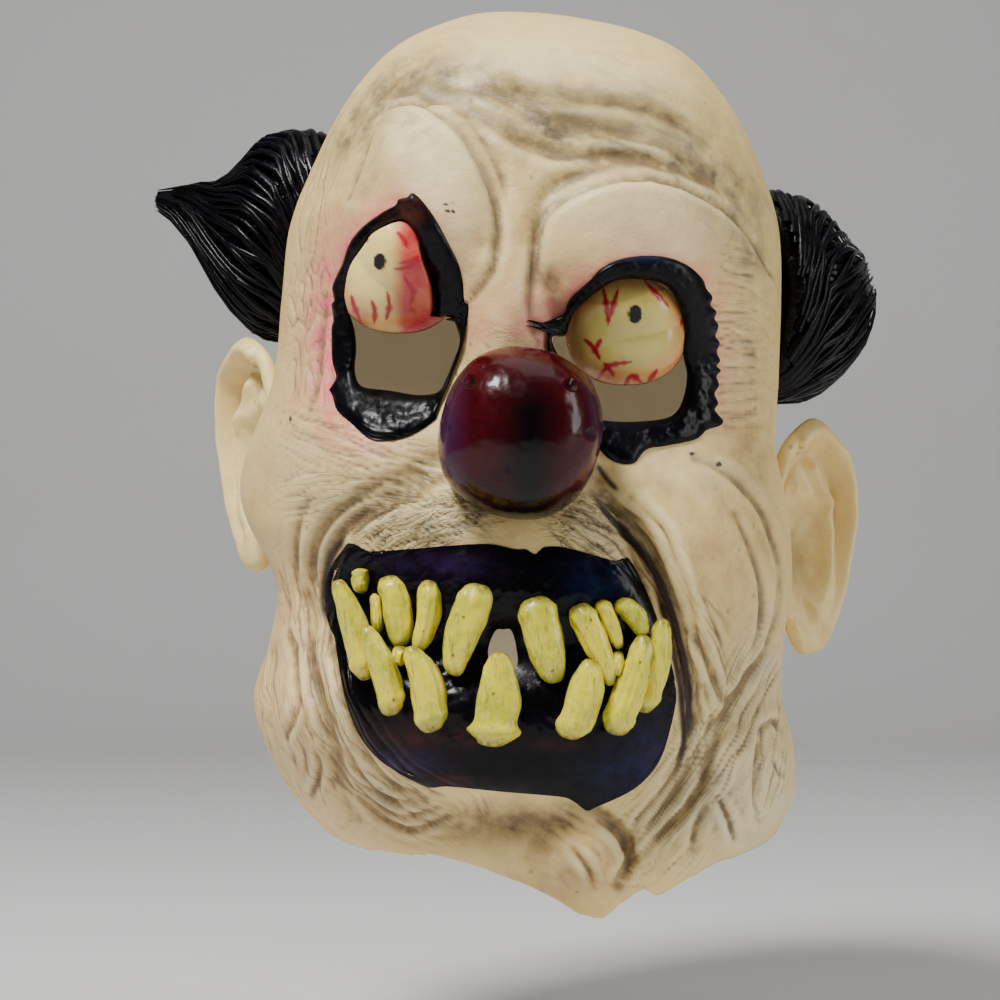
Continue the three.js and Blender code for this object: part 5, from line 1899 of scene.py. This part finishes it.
@dataclass
class Ear:
    """A cupped ear with a rolled rim, an inner ridge, a bowl and a lobe."""

    form: HeadForm
    place: EarPlace
    height: float = 82
    width: float = 42
    wall: float = 4.5
    cup: float = 9
    helix: float = 4.6
    lobe_narrowing: float = 0.22
    seating: float = 0.16

    def face(self, across: np.ndarray, up: np.ndarray, reach: np.ndarray, angle: np.ndarray) -> np.ndarray:
        """Gives the height of the ear's front side, in millimetres.

        Args:
            across: The share of the half width, outwards.
            up: The share of the half height.
            reach: The share of the way from the middle to the rim.
            angle: The direction from the middle.

        Returns:
            The height at each place.
        """
        rim = 0.6 + 0.4 * np.sin(angle)
        roll = self.helix * np.exp(-(((reach - 0.88) / 0.1) ** 2)) * rim * np.clip(
            1.3 - 0.8 * (across < -0.5), 0, 1
        )
        groove = -2.6 * np.exp(-(((reach - 0.7) / 0.07) ** 2)) * np.clip(np.sin(angle) + 0.7, 0, 1)
        ridges = np.zeros(across.shape)
        for line, height, width in (
            (((0.1, -0.62), (0.42, -0.4), (0.5, 0.0), (0.36, 0.32), (0.05, 0.6)), 3.6, 0.12),
            (((0.36, 0.3), (0.0, 0.36), (-0.3, 0.42)), 2.6, 0.1),
            (((-0.75, 0.28), (-0.45, 0.14), (-0.2, 0.12)), 2.2, 0.08),
        ):
            signed, _ = nearest(across, up, smooth_line(line, 16))
            ridges += height * np.exp(-((signed / width) ** 2))
        bowl = self.cup * (1 - reach**2) * 0.75
        concha = 6.0 * np.exp(-(((across + 0.12) / 0.3) ** 2) - ((up + 0.12) / 0.26) ** 2)
        tragus = 4.2 * np.exp(-(((across + 0.72) / 0.16) ** 2) - ((up + 0.1) / 0.14) ** 2)
        lobe = 2.4 * np.exp(-(((across - 0.0) / 0.45) ** 2) - ((up + 0.8) / 0.2) ** 2)
        noise = 0.35 * gradient_noise(across * 3, up * 5, 61)
        return roll + groove + ridges + tragus + lobe - bowl - concha + noise

    def build(self) -> bpy.types.Object:
        """Builds the ear.

        Returns:
            The new object.
        """
        around = 200
        angle = np.linspace(0, 2 * np.pi, around, endpoint=False)
        front = [(share, 0.0) for share in np.linspace(0.02, 0.93, 80)]
        edge = [
            (0.955, 0.06), (0.975, 0.16), (0.99, 0.28), (1.0, 0.42), (1.0, 0.56), (0.99, 0.7),
            (0.97, 0.84), (0.94, 0.94),
        ]
        back = [(share, 1.0) for share in np.linspace(0.9, 0.02, 16)]
        rings = []
        ripple = 1 + 0.015 * np.sin(5 * angle + self.place.drop * 9) + 0.012 * np.sin(9 * angle)
        for reach, behind in front + edge + back:
            up = np.sin(angle)
            out = np.cos(angle) * (1 + self.lobe_narrowing * up)
            across, rise = out * reach, up * reach
            front_side = self.face(across, rise, np.full(around, reach), angle)
            plain = -self.cup * (1 - reach**2) * 0.8
            depth = front_side * (1 - behind) + behind * (plain - self.wall)
            rings.append(
                np.stack([across * ripple * self.width / 2, depth, rise * ripple * self.height / 2], 1)
            )
        points, faces = loft(rings, rings[0].mean(0), rings[-1].mean(0))
        side, size = self.place.side, self.form.size
        points = np.stack(
            [side * (points[:, 0] + self.width * (0.5 - self.seating)), -points[:, 1], points[:, 2]], 1
        )
        tip, sweep = math.radians(self.place.tip) * side, math.radians(self.place.sweep) * side
        points = turned(turned(points, 1, tip), 2, sweep)
        middle, half, _, _ = self.form.section(np.array([self.place.drop * size.height]))
        points += np.array(
            [
                middle[0] + side * (half[0] - self.place.inset), self.place.forward,
                size.wall - self.place.drop * size.height,
            ],
        )
        # the hollow mask darkens the bowl and grooves of the ear: painted shade
        deep = np.concatenate([np.clip((-ring[:, 1] - 3.5) / 9, 0, 1) for ring in rings] + [[0.6], [0.0]])
        warm = np.full(len(points), 0.12)
        return make_mesh(
            self.place.name, self.form.seat(points, 1.2), faces, {"hollow": 0.7 * deep, "tan": warm}
        )


@dataclass(frozen=True)
class TuftPlace:
    """A tuft of hair: its root and its cross-sections from root to tip, as shares of the tuft's own sizes."""

    name: str
    side: int
    drop: float
    sweep: float
    # out, rise, tall, deep
    stations: tuple
    seed: int


TUFTS = (
    TuftPlace(
        "left_hair_tuft",
        -1,
        0.25,
        14,
        (
            (0.0, 0.0, 1.0, 1.0),
            (0.22, -0.02, 0.93, 0.95),
            (0.36, -0.05, 0.74, 0.8),
            (0.52, 0.02, 0.52, 0.6),
            (0.66, 0.18, 0.36, 0.44),
            (0.8, 0.32, 0.2, 0.28),
            (0.96, 0.4, 0.1, 0.12),
        ),
        101,
    ),
    TuftPlace(
        "right_hair_tuft",
        1,
        0.32,
        46,
        (
            (0.0, 0.0, 1.0, 1.0),
            (0.25, -0.02, 0.95, 1.0),
            (0.45, -0.04, 0.8, 0.9),
            (0.62, -0.03, 0.66, 0.76),
            (0.78, 0.02, 0.5, 0.56),
            (0.9, 0.06, 0.32, 0.34),
            (0.97, 0.08, 0.14, 0.16),
        ),
        202,
    ),
)


@dataclass
class Tuft:
    """A tuft of moulded hair: a ridged body with raised locks laid over it."""

    form: HeadForm
    place: TuftPlace
    reach: float = 52
    half_height: float = 34
    half_depth: float = 22
    root: float = 16
    set_back: float = 13
    locks: int = 64

    def surface(self, share: np.ndarray, angle: np.ndarray, lift: np.ndarray) -> np.ndarray:
        """Gives points on the tuft.

        Args:
            share: How far out, 0 at the root and 1 at the tip.
            angle: The direction round the tuft.
            lift: A factor on its radius.

        Returns:
            The points, in millimetres.
        """
        table = np.array(self.place.stations)
        last = table[-1, 0]
        at = np.clip(share, 0, 1) * last
        rise, tall, deep = (hermite(table[:, 0], table[:, column], at) for column in (1, 2, 3))
        out = np.where(share < 0, share * self.root, at * self.reach)
        back = np.cos(angle) * deep * self.half_depth * lift
        up = (rise + np.sin(angle) * tall * lift) * self.half_height
        sweep, side = math.radians(self.place.sweep) * self.place.side, self.place.side
        x = side * out * math.cos(sweep) - back * math.sin(sweep)
        y = side * out * math.sin(sweep) + back * math.cos(sweep)
        size = self.form.size
        middle, half, _, _ = self.form.section(np.array([self.place.drop * size.height]))
        centre = [middle[0] + side * half[0], self.set_back, size.wall - self.place.drop * size.height]
        return np.stack([x, y, up], -1) + centre

    def body(self) -> tuple[np.ndarray, list]:
        """Builds the ridged body.

        Returns:
            The points and the faces.
        """
        around = 260
        angle = np.linspace(0, 2 * np.pi, around, endpoint=False)
        rings = []
        for share in np.concatenate([[-1, -0.6, -0.3], np.linspace(-0.1, 1, 90)]):
            twist = angle * 7 + 7.7 * max(share, 0)
            coarse = -0.09 * (0.5 + 0.5 * np.cos(twist))
            fine = gradient_noise(
                angle * 60 / np.pi + 3 * share, np.full(around, share * 3.0), self.place.seed
            )
            fine = 0.035 * (1 - 2 * np.abs(fine))
            ragged = 0.04 * gradient_noise(angle * 5, np.full(around, share * 4.0), self.place.seed + 1)
            rings.append(self.surface(np.full(around, share), angle, 1 + coarse + fine + ragged))
        tip = self.surface(np.array([1.0]), np.array([0.0]), np.array([0.0]))[0]
        outwards = np.array([self.place.side * 1.5, 0, 0.4])
        points, faces = loft(rings, rings[0].mean(0), tip + outwards)
        return self.form.seat(points, 1.0), faces

    def guides(self) -> bpy.types.Mesh:
        """Lays the guide lines of the locks.

        Returns:
            A mesh of lines with a thickness on each point.
        """
        random = np.random.default_rng(self.place.seed)
        points, edges, thick = [], [], []
        for number in range(self.locks):
            start = 2 * np.pi * (number + random.random() * 0.7) / self.locks
            share = np.linspace(-0.95 + 0.3 * random.random(), 0.6 + 0.45 * random.random(), 16)
            angle = start - 1.1 * share + 0.06 * np.sin(share * 7 + random.random() * 6)
            tip = np.clip((share - share[0]) / (share[-1] - share[0]), 0, 1)
            lift = 1.0 + 0.05 * np.sin(np.pi * tip) + 0.1 * tip**3
            line = self.surface(share, angle, lift)
            line[:, 0] += self.place.side * 5 * np.clip(share - 0.93, 0, 1)
            width = (1.1 + 1.2 * random.random()) * (1 - 0.92 * tip**1.8)
            first = len(points)
            points += line.tolist()
            thick += width.tolist()
            edges += [(first + i, first + i + 1) for i in range(len(line) - 1)]
        mesh = bpy.data.meshes.new("guides")
        mesh.from_pydata((np.array(points) * MM).tolist(), edges, [])
        layer = mesh.attributes.new("thick", "FLOAT", "POINT")
        layer.data.foreach_set("value", (np.array(thick) * MM).astype(np.float32))
        return mesh

    def build(self, tree: bpy.types.NodeTree, material: bpy.types.Material) -> bpy.types.Object:
        """Builds the tuft.

        Args:
            tree: The tree for the locks.
            material: The hair's material.

        Returns:
            The new object.
        """
        points, faces = self.body()
        piece = make_mesh(self.place.name, points, faces)
        values = {
            "Around": 10, "Ridge Depth": 0.16, "Waviness": 0.0012, "Seed": float(self.place.seed),
            "Material": material,
        }
        locks = grow("locks", self.guides(), tree, values)
        moved = points_of(locks.data)
        set_points(locks.data, self.form.seat(moved, 1.0))
        shape = bmesh.new()
        shape.from_mesh(piece.data)
        shape.from_mesh(locks.data)
        shape.to_mesh(piece.data)
        shape.free()
        bpy.data.objects.remove(locks)
        piece.data.shade_smooth()
        return piece


# Finishes


def mottle_group() -> bpy.types.NodeTree:
    """Builds the shared group that clouds a colour with a second and a third one."""
    inputs = {"Vector": "Vector", "Colour": "Color", "Cloud": "Color", "Grain": "Color", "Scale": "Float"}
    graph = Graph.start("mottle", "ShaderNodeTree", {**inputs, "Strength": "Float"}, "Color")
    given = graph.given
    wide = graph.between(graph.noise(given["Vector"], given["Scale"], 4, 0.6, 0.4), 0.42, 0.66)
    cloud = graph.blend(wide * given["Strength"], given["Colour"], given["Cloud"])
    close = graph.noise(given["Vector"], given["Scale"] * 7.0, 5, 0.65)
    fine = graph.between(close, 0.45, 0.75) * given["Strength"] * 0.6
    return graph.end(graph.blend(fine, cloud, given["Grain"]))


def grain_group() -> bpy.types.NodeTree:
    """Builds the shared group for a pored surface: it gives the height for a bump."""
    inputs = {"Vector": "Vector", "Scale": "Float", "Pores": "Float"}
    graph = Graph.start("grain", "ShaderNodeTree", inputs, "Float")
    given = graph.given
    fine = graph.noise(given["Vector"], given["Scale"], 4, 0.6)
    cells = graph.out("ShaderNodeTexVoronoi", {"Vector": given["Vector"], "Scale": given["Scale"]})
    return graph.end(fine + graph.between(cells, 0.0, 0.3) * given["Pores"])


def speckle_group() -> bpy.types.NodeTree:
    """Builds the shared group for sparse dark specks: it gives their mask."""
    inputs = {"Vector": "Vector", "Scale": "Float", "Amount": "Float"}
    graph = Graph.start("speckle", "ShaderNodeTree", inputs, "Float")
    given = graph.given
    cells = graph.add("ShaderNodeTexVoronoi", {"Vector": given["Vector"], "Scale": given["Scale"]})
    draw = graph.out("ShaderNodeSeparateColor", {0: Signal(graph, cells.outputs["Color"])})
    chosen = graph.math("LESS_THAN", draw, given["Amount"])
    return graph.end(graph.between(Signal(graph, cells.outputs["Distance"]), 0.12, 0.24, 1, 0) * chosen)


class Palette:
    """Makes the materials from shared groups."""

    def __init__(self) -> None:
        """Builds the shared groups."""
        self.groups = {"mottle": mottle_group(), "grain": grain_group(), "speckle": speckle_group()}

    def start(self, name: str) -> tuple[bpy.types.Material, Graph, bpy.types.Node, Signal]:
        """Starts a material, and gives it with its graph, its shader and the place on the object."""
        material = bpy.data.materials.new(name)
        material.use_nodes = True
        graph = Graph(material.node_tree)
        return material, graph, material.node_tree.nodes["Principled BSDF"], graph.place()

    def use(self, graph: Graph, group: str, **inputs: Value) -> Signal:
        """Adds a shared group and returns its result."""
        node = graph.add("ShaderNodeGroup", node_tree=self.groups[group])
        for key, value in inputs.items():
            graph.put(node.inputs[key], value)
        return Signal(graph, node.outputs[0])

    def finish(
        self,
        graph: Graph,
        shader: bpy.types.Node,
        colour: Value,
        rough: Value,
        height: Signal,
        bump: float,
        **gloss: float,
    ) -> None:
        """Sets the shader's sockets.

        Args:
            graph: The material's graph.
            shader: Its shader.
            colour: The colour.
            rough: The roughness.
            height: The height for the bump.
            bump: The bump's depth, in metres.
            **gloss: Plain values for further sockets, with "_" for a space.
        """
        graph.put(shader.inputs["Base Color"], colour)
        graph.put(shader.inputs["Roughness"], rough)
        settings = {"Height": height, "Strength": 0.4, "Distance": bump}
        graph.put(shader.inputs["Normal"], graph.out("ShaderNodeBump", settings))
        for key, value in gloss.items():
            shader.inputs[key.replace("_", " ")].default_value = value


@dataclass(frozen=True)
class LatexFinish:
    """Cream latex with its paints, painted shade in the creases and hollows, and painted highlights on the
    ridges and tops.
    """

    name: str
    roughness: float = 0.5
    cream: Colour = (0.80, 0.60, 0.235)
    cloud: Colour = (0.72, 0.50, 0.17)
    grain: Colour = (0.85, 0.69, 0.32)
    # grey-brown of the washes and of the painted shade
    wash: Colour = (0.115, 0.085, 0.040)
    blush: Colour = (0.86, 0.13, 0.19)
    stain: Colour = (0.030, 0.013, 0.007)
    tan: Colour = (0.55, 0.32, 0.11)
    cool: Colour = (0.60, 0.58, 0.40)
    rosy: Colour = (0.80, 0.46, 0.25)
    # dark brown of the creases and hollows: partly paint washes, partly painted shade
    hollow: Colour = (0.20, 0.13, 0.055)
    fleck: Colour = (0.02, 0.015, 0.012)
    # the inside, made paler as painted light for the light that reaches inside the head
    inner: Colour = (0.95, 0.86, 0.66)
    # pale cream of the painted highlights and of the rubbed ridges
    light: Colour = (0.93, 0.80, 0.46)

    def make(self, palette: Palette) -> bpy.types.Material:
        """Makes the material."""
        material, graph, shader, place = palette.start(self.name)
        tints = {"Colour": self.cream, "Cloud": self.cloud, "Grain": self.grain}
        colour = palette.use(graph, "mottle", Vector=place, Scale=32.0, Strength=0.75, **tints)
        rough = graph.noise(place, 120, 4, 0.6)
        broken = graph.between(rough, 0.3, 0.62, 0.5, 1.15)
        for key, tint, strength in (
            ("tan", self.tan, 0.7),
            ("rosy", self.rosy, 0.7),
            ("cool", self.cool, 0.7),
            ("wash", self.wash, 1.1),
            ("blush", self.blush, 0.9),
            # hollow: darker in the creases and hollows, partly paint washes and partly painted shade
            ("hollow", self.hollow, 0.85),
        ):
            amount = graph.out("ShaderNodeClamp", {0: graph.mask(key) * strength * broken})
            colour = graph.blend(amount, colour, tint)
        path = graph.out("ShaderNodeCombineXYZ", {0: graph.mask("flow_along"), 1: graph.mask("flow_across")})
        lines = graph.between(graph.noise(path, 1.5, 5, 0.6), 0.48, 0.72) * graph.mask("flow")
        # thin dark lines in the hollow colour along the wrinkles: partly painted shade in the fine creases
        creases = graph.veins(path, 1.3, 2, 0.3, 0.045) * graph.mask("etch")
        line_strength = graph.math("MAXIMUM", graph.mask("wash"), graph.mask("hollow")) * 0.55 + 0.08
        colour = graph.blend(lines * line_strength, colour, self.wash)
        colour = graph.blend(creases * line_strength, colour, self.hollow)
        cracks = graph.veins(path, 1.5, 3, 0.6, 0.055) * graph.mask("crack")
        colour = graph.blend(cracks * 0.9, colour, self.stain)
        # lighter cream on the ridges, partly wear and partly painted highlight, and painted highlights on the
        # pale tops
        wear_and_highlight = graph.math("MAXIMUM", graph.mask("ridge") * 0.4, graph.mask("pale"))
        colour = graph.blend(wear_and_highlight, colour, self.light)
        for key, tint in (("stain", self.stain), ("fleck", self.fleck)):
            colour = graph.blend(graph.between(graph.mask(key), 0.15, 0.75), colour, tint)
        specks = palette.use(graph, "speckle", Vector=place, Scale=210.0, Amount=0.045)
        colour = graph.blend(specks * 0.4, colour, self.wash)
        # paler inside: painted light
        colour = graph.blend(graph.mask("inside"), colour, self.inner)
        height = palette.use(graph, "grain", Vector=place, Scale=520.0, Pores=0.35)
        height = height - creases * 1.6 - lines * 0.7 - cracks * 3.0
        rough = graph.between(rough, 0.3, 0.7, self.roughness - 0.08, self.roughness + 0.1)
        palette.finish(graph, shader, colour, rough, height, 0.0006, Specular_IOR_Level=0.42)
        return material


@dataclass(frozen=True)
class BlackFinish:
    """Thick gloss-black paint with painted purple and bluish highlights and brown tints."""

    name: str
    black: Colour = (0.0012, 0.0011, 0.0016)
    # purple and bluish painted highlights, and the brown of the tints
    violet_highlight: Colour = (0.030, 0.012, 0.055)
    blue: Colour = (0.010, 0.020, 0.065)
    brown: Colour = (0.08, 0.020, 0.014)
    roughness: float = 0.2
    streak: float = 150

    def make(self, palette: Palette) -> bpy.types.Material:
        """Makes the material."""
        material, graph, shader, place = palette.start(self.name)
        tints = {"Colour": self.black, "Cloud": self.violet_highlight, "Grain": self.brown}
        colour = palette.use(graph, "mottle", Vector=place, Scale=60.0, Strength=0.04, **tints)
        patchy = graph.between(graph.noise(place, 180, 4, 0.6), 0.3, 0.65, 0.15, 0.8)
        # painted purple and bluish highlights, and brown tints, where the masks place them
        for key, tint in (("violet_highlight", self.violet_highlight), ("blue", self.blue), ("brown", self.brown)):
            colour = graph.blend(graph.mask(key) * patchy, colour, tint)
        streaks = graph.noise(place, self.streak, 5, 0.6, 0.3)
        rough = graph.between(streaks, 0.3, 0.7, self.roughness - 0.07, self.roughness + 0.12)
        gloss = {"Specular_IOR_Level": 0.13, "Coat_Weight": 0.02, "Coat_Roughness": 0.1}
        palette.finish(graph, shader, colour, rough, streaks, 0.0008, **gloss)
        return material


@dataclass(frozen=True)
class NoseFinish:
    """Dark red gloss, blacker down the middle, with painted shade in the dents and painted purple highlights
    down both sides.
    """

    name: str
    red: Colour = (0.040, 0.0012, 0.003)
    bright: Colour = (0.065, 0.0022, 0.005)
    dark: Colour = (0.0012, 0.0006, 0.0010)
    violet_highlight: Colour = (0.05, 0.018, 0.08)

    def make(self, palette: Palette) -> bpy.types.Material:
        """Makes the material."""
        material, graph, shader, place = palette.start(self.name)
        tints = {"Colour": self.red, "Cloud": self.bright, "Grain": self.dark}
        colour = palette.use(graph, "mottle", Vector=place, Scale=45.0, Strength=0.7, **tints)
        colour = graph.blend(graph.mask("middle"), colour, self.dark)
        # the dents darkened: painted shade
        colour = graph.blend(graph.mask("pit") * 0.6, colour, self.dark)
        # painted purple highlights down the left and right edges
        side = graph.mask("side")
        sides = graph.between(side, 0.0, 0.22, 0.5, 0.0) + graph.between(side, 0.85, 1, 0, 0.3)
        colour = graph.blend(sides, colour, self.violet_highlight)
        rough = graph.noise(place, 260, 4, 0.6)
        gloss = {"Specular_IOR_Level": 0.15, "Coat_Weight": 0.16, "Coat_Roughness": 0.07}
        shine = graph.between(rough, 0.3, 0.7, 0.16, 0.28)
        palette.finish(graph, shader, colour, shine, rough, 0.0003, **gloss)
        return material


@dataclass(frozen=True)
class EyeFinish:
    """Cream yellow with dark red strokes and a black pupil."""

    name: str
    cream: Colour = (0.90, 0.72, 0.24)
    cloud: Colour = (0.84, 0.56, 0.14)
    grain: Colour = (0.93, 0.82, 0.42)
    pink: Colour = (0.62, 0.035, 0.055)
    green: Colour = (0.50, 0.44, 0.08)
    red: Colour = (0.42, 0.006, 0.018)
    black: Colour = (0.002, 0.002, 0.003)

    def make(self, palette: Palette) -> bpy.types.Material:
        """Makes the material."""
        material, graph, shader, place = palette.start(self.name)
        tints = {"Colour": self.cream, "Cloud": self.cloud, "Grain": self.grain}
        colour = palette.use(graph, "mottle", Vector=place, Scale=70.0, Strength=0.7, **tints)
        patchy = graph.between(graph.noise(place, 110, 4, 0.6), 0.35, 0.65, 0.8, 1)
        colour = graph.blend(graph.mask("green") * 0.6, colour, self.green)
        colour = graph.blend(graph.mask("pink") * patchy, colour, self.pink)
        colour = graph.blend(graph.mask("red"), colour, self.red)
        colour = graph.blend(graph.mask("pupil"), colour, self.black)
        rough = graph.between(graph.noise(place, 90, 3), 0.3, 0.7, 0.2, 0.34) + graph.mask("pupil") * 0.5
        gloss = {"Specular_IOR_Level": 0.4, "Coat_Weight": 0.1, "Coat_Roughness": 0.08}
        palette.finish(graph, shader, colour, rough, graph.noise(place, 300, 3), 0.0002, **gloss)
        return material


@dataclass(frozen=True)
class ToothFinish:
    """Thick yellow paint, greener in places, with specks and darkened tips."""

    name: str
    yellow: Colour = (0.78, 0.66, 0.03)
    green: Colour = (0.46, 0.46, 0.03)
    pale: Colour = (0.88, 0.84, 0.16)
    dark: Colour = (0.07, 0.045, 0.008)

    def make(self, palette: Palette) -> bpy.types.Material:
        """Makes the material."""
        material, graph, shader, place = palette.start(self.name)
        tints = {"Colour": self.yellow, "Cloud": self.green, "Grain": self.pale}
        colour = palette.use(graph, "mottle", Vector=place, Scale=75.0, Strength=0.9, **tints)
        stretched = graph.vector("MULTIPLY", place, (1, 1, 0.16))
        lines = graph.noise(stretched, 700, 4, 0.6)
        colour = graph.blend(graph.between(lines, 0.52, 0.75, 0, 0.6), colour, self.dark)
        share = graph.mask("share")
        tip, root = graph.between(share, 0.88, 1.0, 0, 0.75), graph.between(share, 0.0, 0.14, 0.85, 0)
        ends = graph.math("MAXIMUM", tip, root)
        colour = graph.blend(ends * graph.between(lines, 0.3, 0.6, 0.4, 1), colour, self.dark)
        specks = palette.use(graph, "speckle", Vector=place, Scale=330.0, Amount=0.2)
        colour = graph.blend(specks * 0.75, colour, self.dark)
        rough = graph.between(lines, 0.3, 0.7, 0.26, 0.42)
        palette.finish(graph, shader, colour, rough, lines, 0.0005, Coat_Weight=0.15, Coat_Roughness=0.1)
        return material


@dataclass(frozen=True)
class FloorFinish:
    """Pale paper."""

    name: str
    pale: Colour = (0.72, 0.71, 0.70)
    warm: Colour = (0.68, 0.665, 0.64)

    def make(self, palette: Palette) -> bpy.types.Material:
        """Makes the material."""
        material, graph, shader, place = palette.start(self.name)
        tints = {"Colour": self.pale, "Cloud": self.warm, "Grain": self.pale}
        colour = palette.use(graph, "mottle", Vector=place, Scale=3.0, Strength=0.3, **tints)
        palette.finish(graph, shader, colour, 0.8, graph.noise(place, 40), 0.0002)
        return material


# The mask, the studio and the run


class Mask:
    """The whole mask."""

    def __init__(self) -> None:
        """Lays the outlines and sets up the form."""
        self.size = HeadSize()
        lay_outlines()
        self.form = HeadForm(self.size)
        self.skin = Skin(self.form)
        self.palette = Palette()

    def build(self) -> None:
        """Builds every piece."""
        latex = LatexFinish("latex").make(self.palette)
        ear_latex = LatexFinish("ear_latex", 0.42, cream=(0.86, 0.68, 0.30)).make(self.palette)
        mouth_black = BlackFinish("mouth_black").make(self.palette)
        rim_black = BlackFinish("rim_black", roughness=0.3, streak=140).make(self.palette)
        hair_black = BlackFinish("hair_black", roughness=0.26, streak=220).make(self.palette)
        nose_gloss = NoseFinish("nose_gloss").make(self.palette)
        eyeball_paint = EyeFinish("eyeball_paint").make(self.palette)
        tooth_paint = ToothFinish("tooth_paint").make(self.palette)
        dress(self.skin.build(), latex, ("mask_shell",))
        fine = 1
        mouth = Inlay(self.skin, "mouth", "gap", "mouth", 1.3, int(420 * fine), int(120 * fine), 0.5, 6, 11)
        dress(mouth.build(), mouth_black, ("mouth",))
        for side in ("left", "right"):
            rim = Inlay(
                self.skin, f"{side}_eye_rim", f"{side}_opening", f"{side}_rim", 2.2, int(420 * fine),
                int(60 * fine), 0.5, 5, 21,
            )
            dress(rim.build(), rim_black, (f"{side}_eye_rim",))
        for shape in EYES:
            dress(Eyeball(self.form, shape).build(), eyeball_paint, (shape.name,))
        dress(Nose(self.form).build(), nose_gloss, ("nose",))
        for place in EARS:
            dress(Ear(self.form, place).build(), ear_latex, (place.name,))
        tree = lock_tree()
        for place in TUFTS:
            dress(Tuft(self.form, place).build(tree, hair_black), hair_black, (place.name,))
        Dentition(self.form).build(tooth_paint)


@dataclass
class Studio:
    """The floor, the lights and the camera."""

    floor_level: float = -0.36
    backdrop: float = 1.8

    def floor(self, material: bpy.types.Material) -> bpy.types.Object:
        """Builds a floor that curves up into a backdrop.

        Args:
            material: Its material.

        Returns:
            The new object.
        """
        steps = [(-4.0, 0.0), (self.backdrop - 0.5, 0.0)]
        for turn in np.linspace(0, np.pi / 2, 16)[1:]:
            steps.append((self.backdrop - 0.5 + 0.5 * math.sin(turn), 0.5 - 0.5 * math.cos(turn)))
        steps.append((self.backdrop, 2.5))
        points, faces = [], []
        for y, up in steps:
            points += [(-5, y, self.floor_level + up), (5, y, self.floor_level + up)]
        for row in range(len(steps) - 1):
            faces.append((2 * row, 2 * row + 1, 2 * row + 3, 2 * row + 2))
        mesh = bpy.data.meshes.new("floor")
        mesh.from_pydata(points, [], faces)
        mesh.shade_smooth()
        mesh.materials.append(material)
        piece = bpy.data.objects.new("floor", mesh)
        bpy.context.scene.collection.objects.link(piece)
        return piece

    def light(self, name: str, place: Vector, aim: Vector, size: tuple[float, float], power: float) -> None:
        """Adds a soft area light that faces a point."""
        lamp = bpy.data.lights.new(name, "AREA")
        lamp.shape = "RECTANGLE"
        lamp.size, lamp.size_y = size
        lamp.energy = power
        holder = bpy.data.objects.new(name, lamp)
        holder.location = place
        holder.rotation_euler = (aim - place).to_track_quat("-Z", "Y").to_euler()
        bpy.context.scene.collection.objects.link(holder)

    def build(self, palette: Palette) -> None:
        """Sets everything up."""
        self.floor(FloorFinish("floor_paper").make(palette))
        aim = Vector((0, 0, -0.15))
        self.light("key", Vector((-0.5, -0.62, 0.98)), aim, (0.36, 0.36), 31)
        self.light("strip", Vector((1.0, -0.35, 0.15)), aim, (0.25, 0.9), 5.5)
        self.light("overhead", Vector((0.15, 0.1, 1.0)), aim, (0.9, 0.7), 3)
        world = bpy.data.worlds.new("studio")
        world.use_nodes = True
        world.node_tree.nodes["Background"].inputs["Color"].default_value = (0.92, 0.93, 0.95, 1)
        world.node_tree.nodes["Background"].inputs["Strength"].default_value = 0.11
        bpy.context.scene.world = world
        camera = bpy.data.cameras.new("camera")
        camera.sensor_width = 36
        camera.lens = 104.35
        holder = bpy.data.objects.new("camera", camera)
        holder.location = (-0.00966, -1.0, -0.1646)
        holder.rotation_euler = (math.pi / 2, 0, 0)
        bpy.context.scene.collection.objects.link(holder)
        bpy.context.scene.camera = holder


def main() -> None:
    """Builds the mask and its studio."""
    logging.basicConfig(level=logging.INFO, format="%(name)s: %(message)s")
    mask = Mask()
    mask.build()
    Studio().build(mask.palette)


if __name__ == "__main__":
    main()
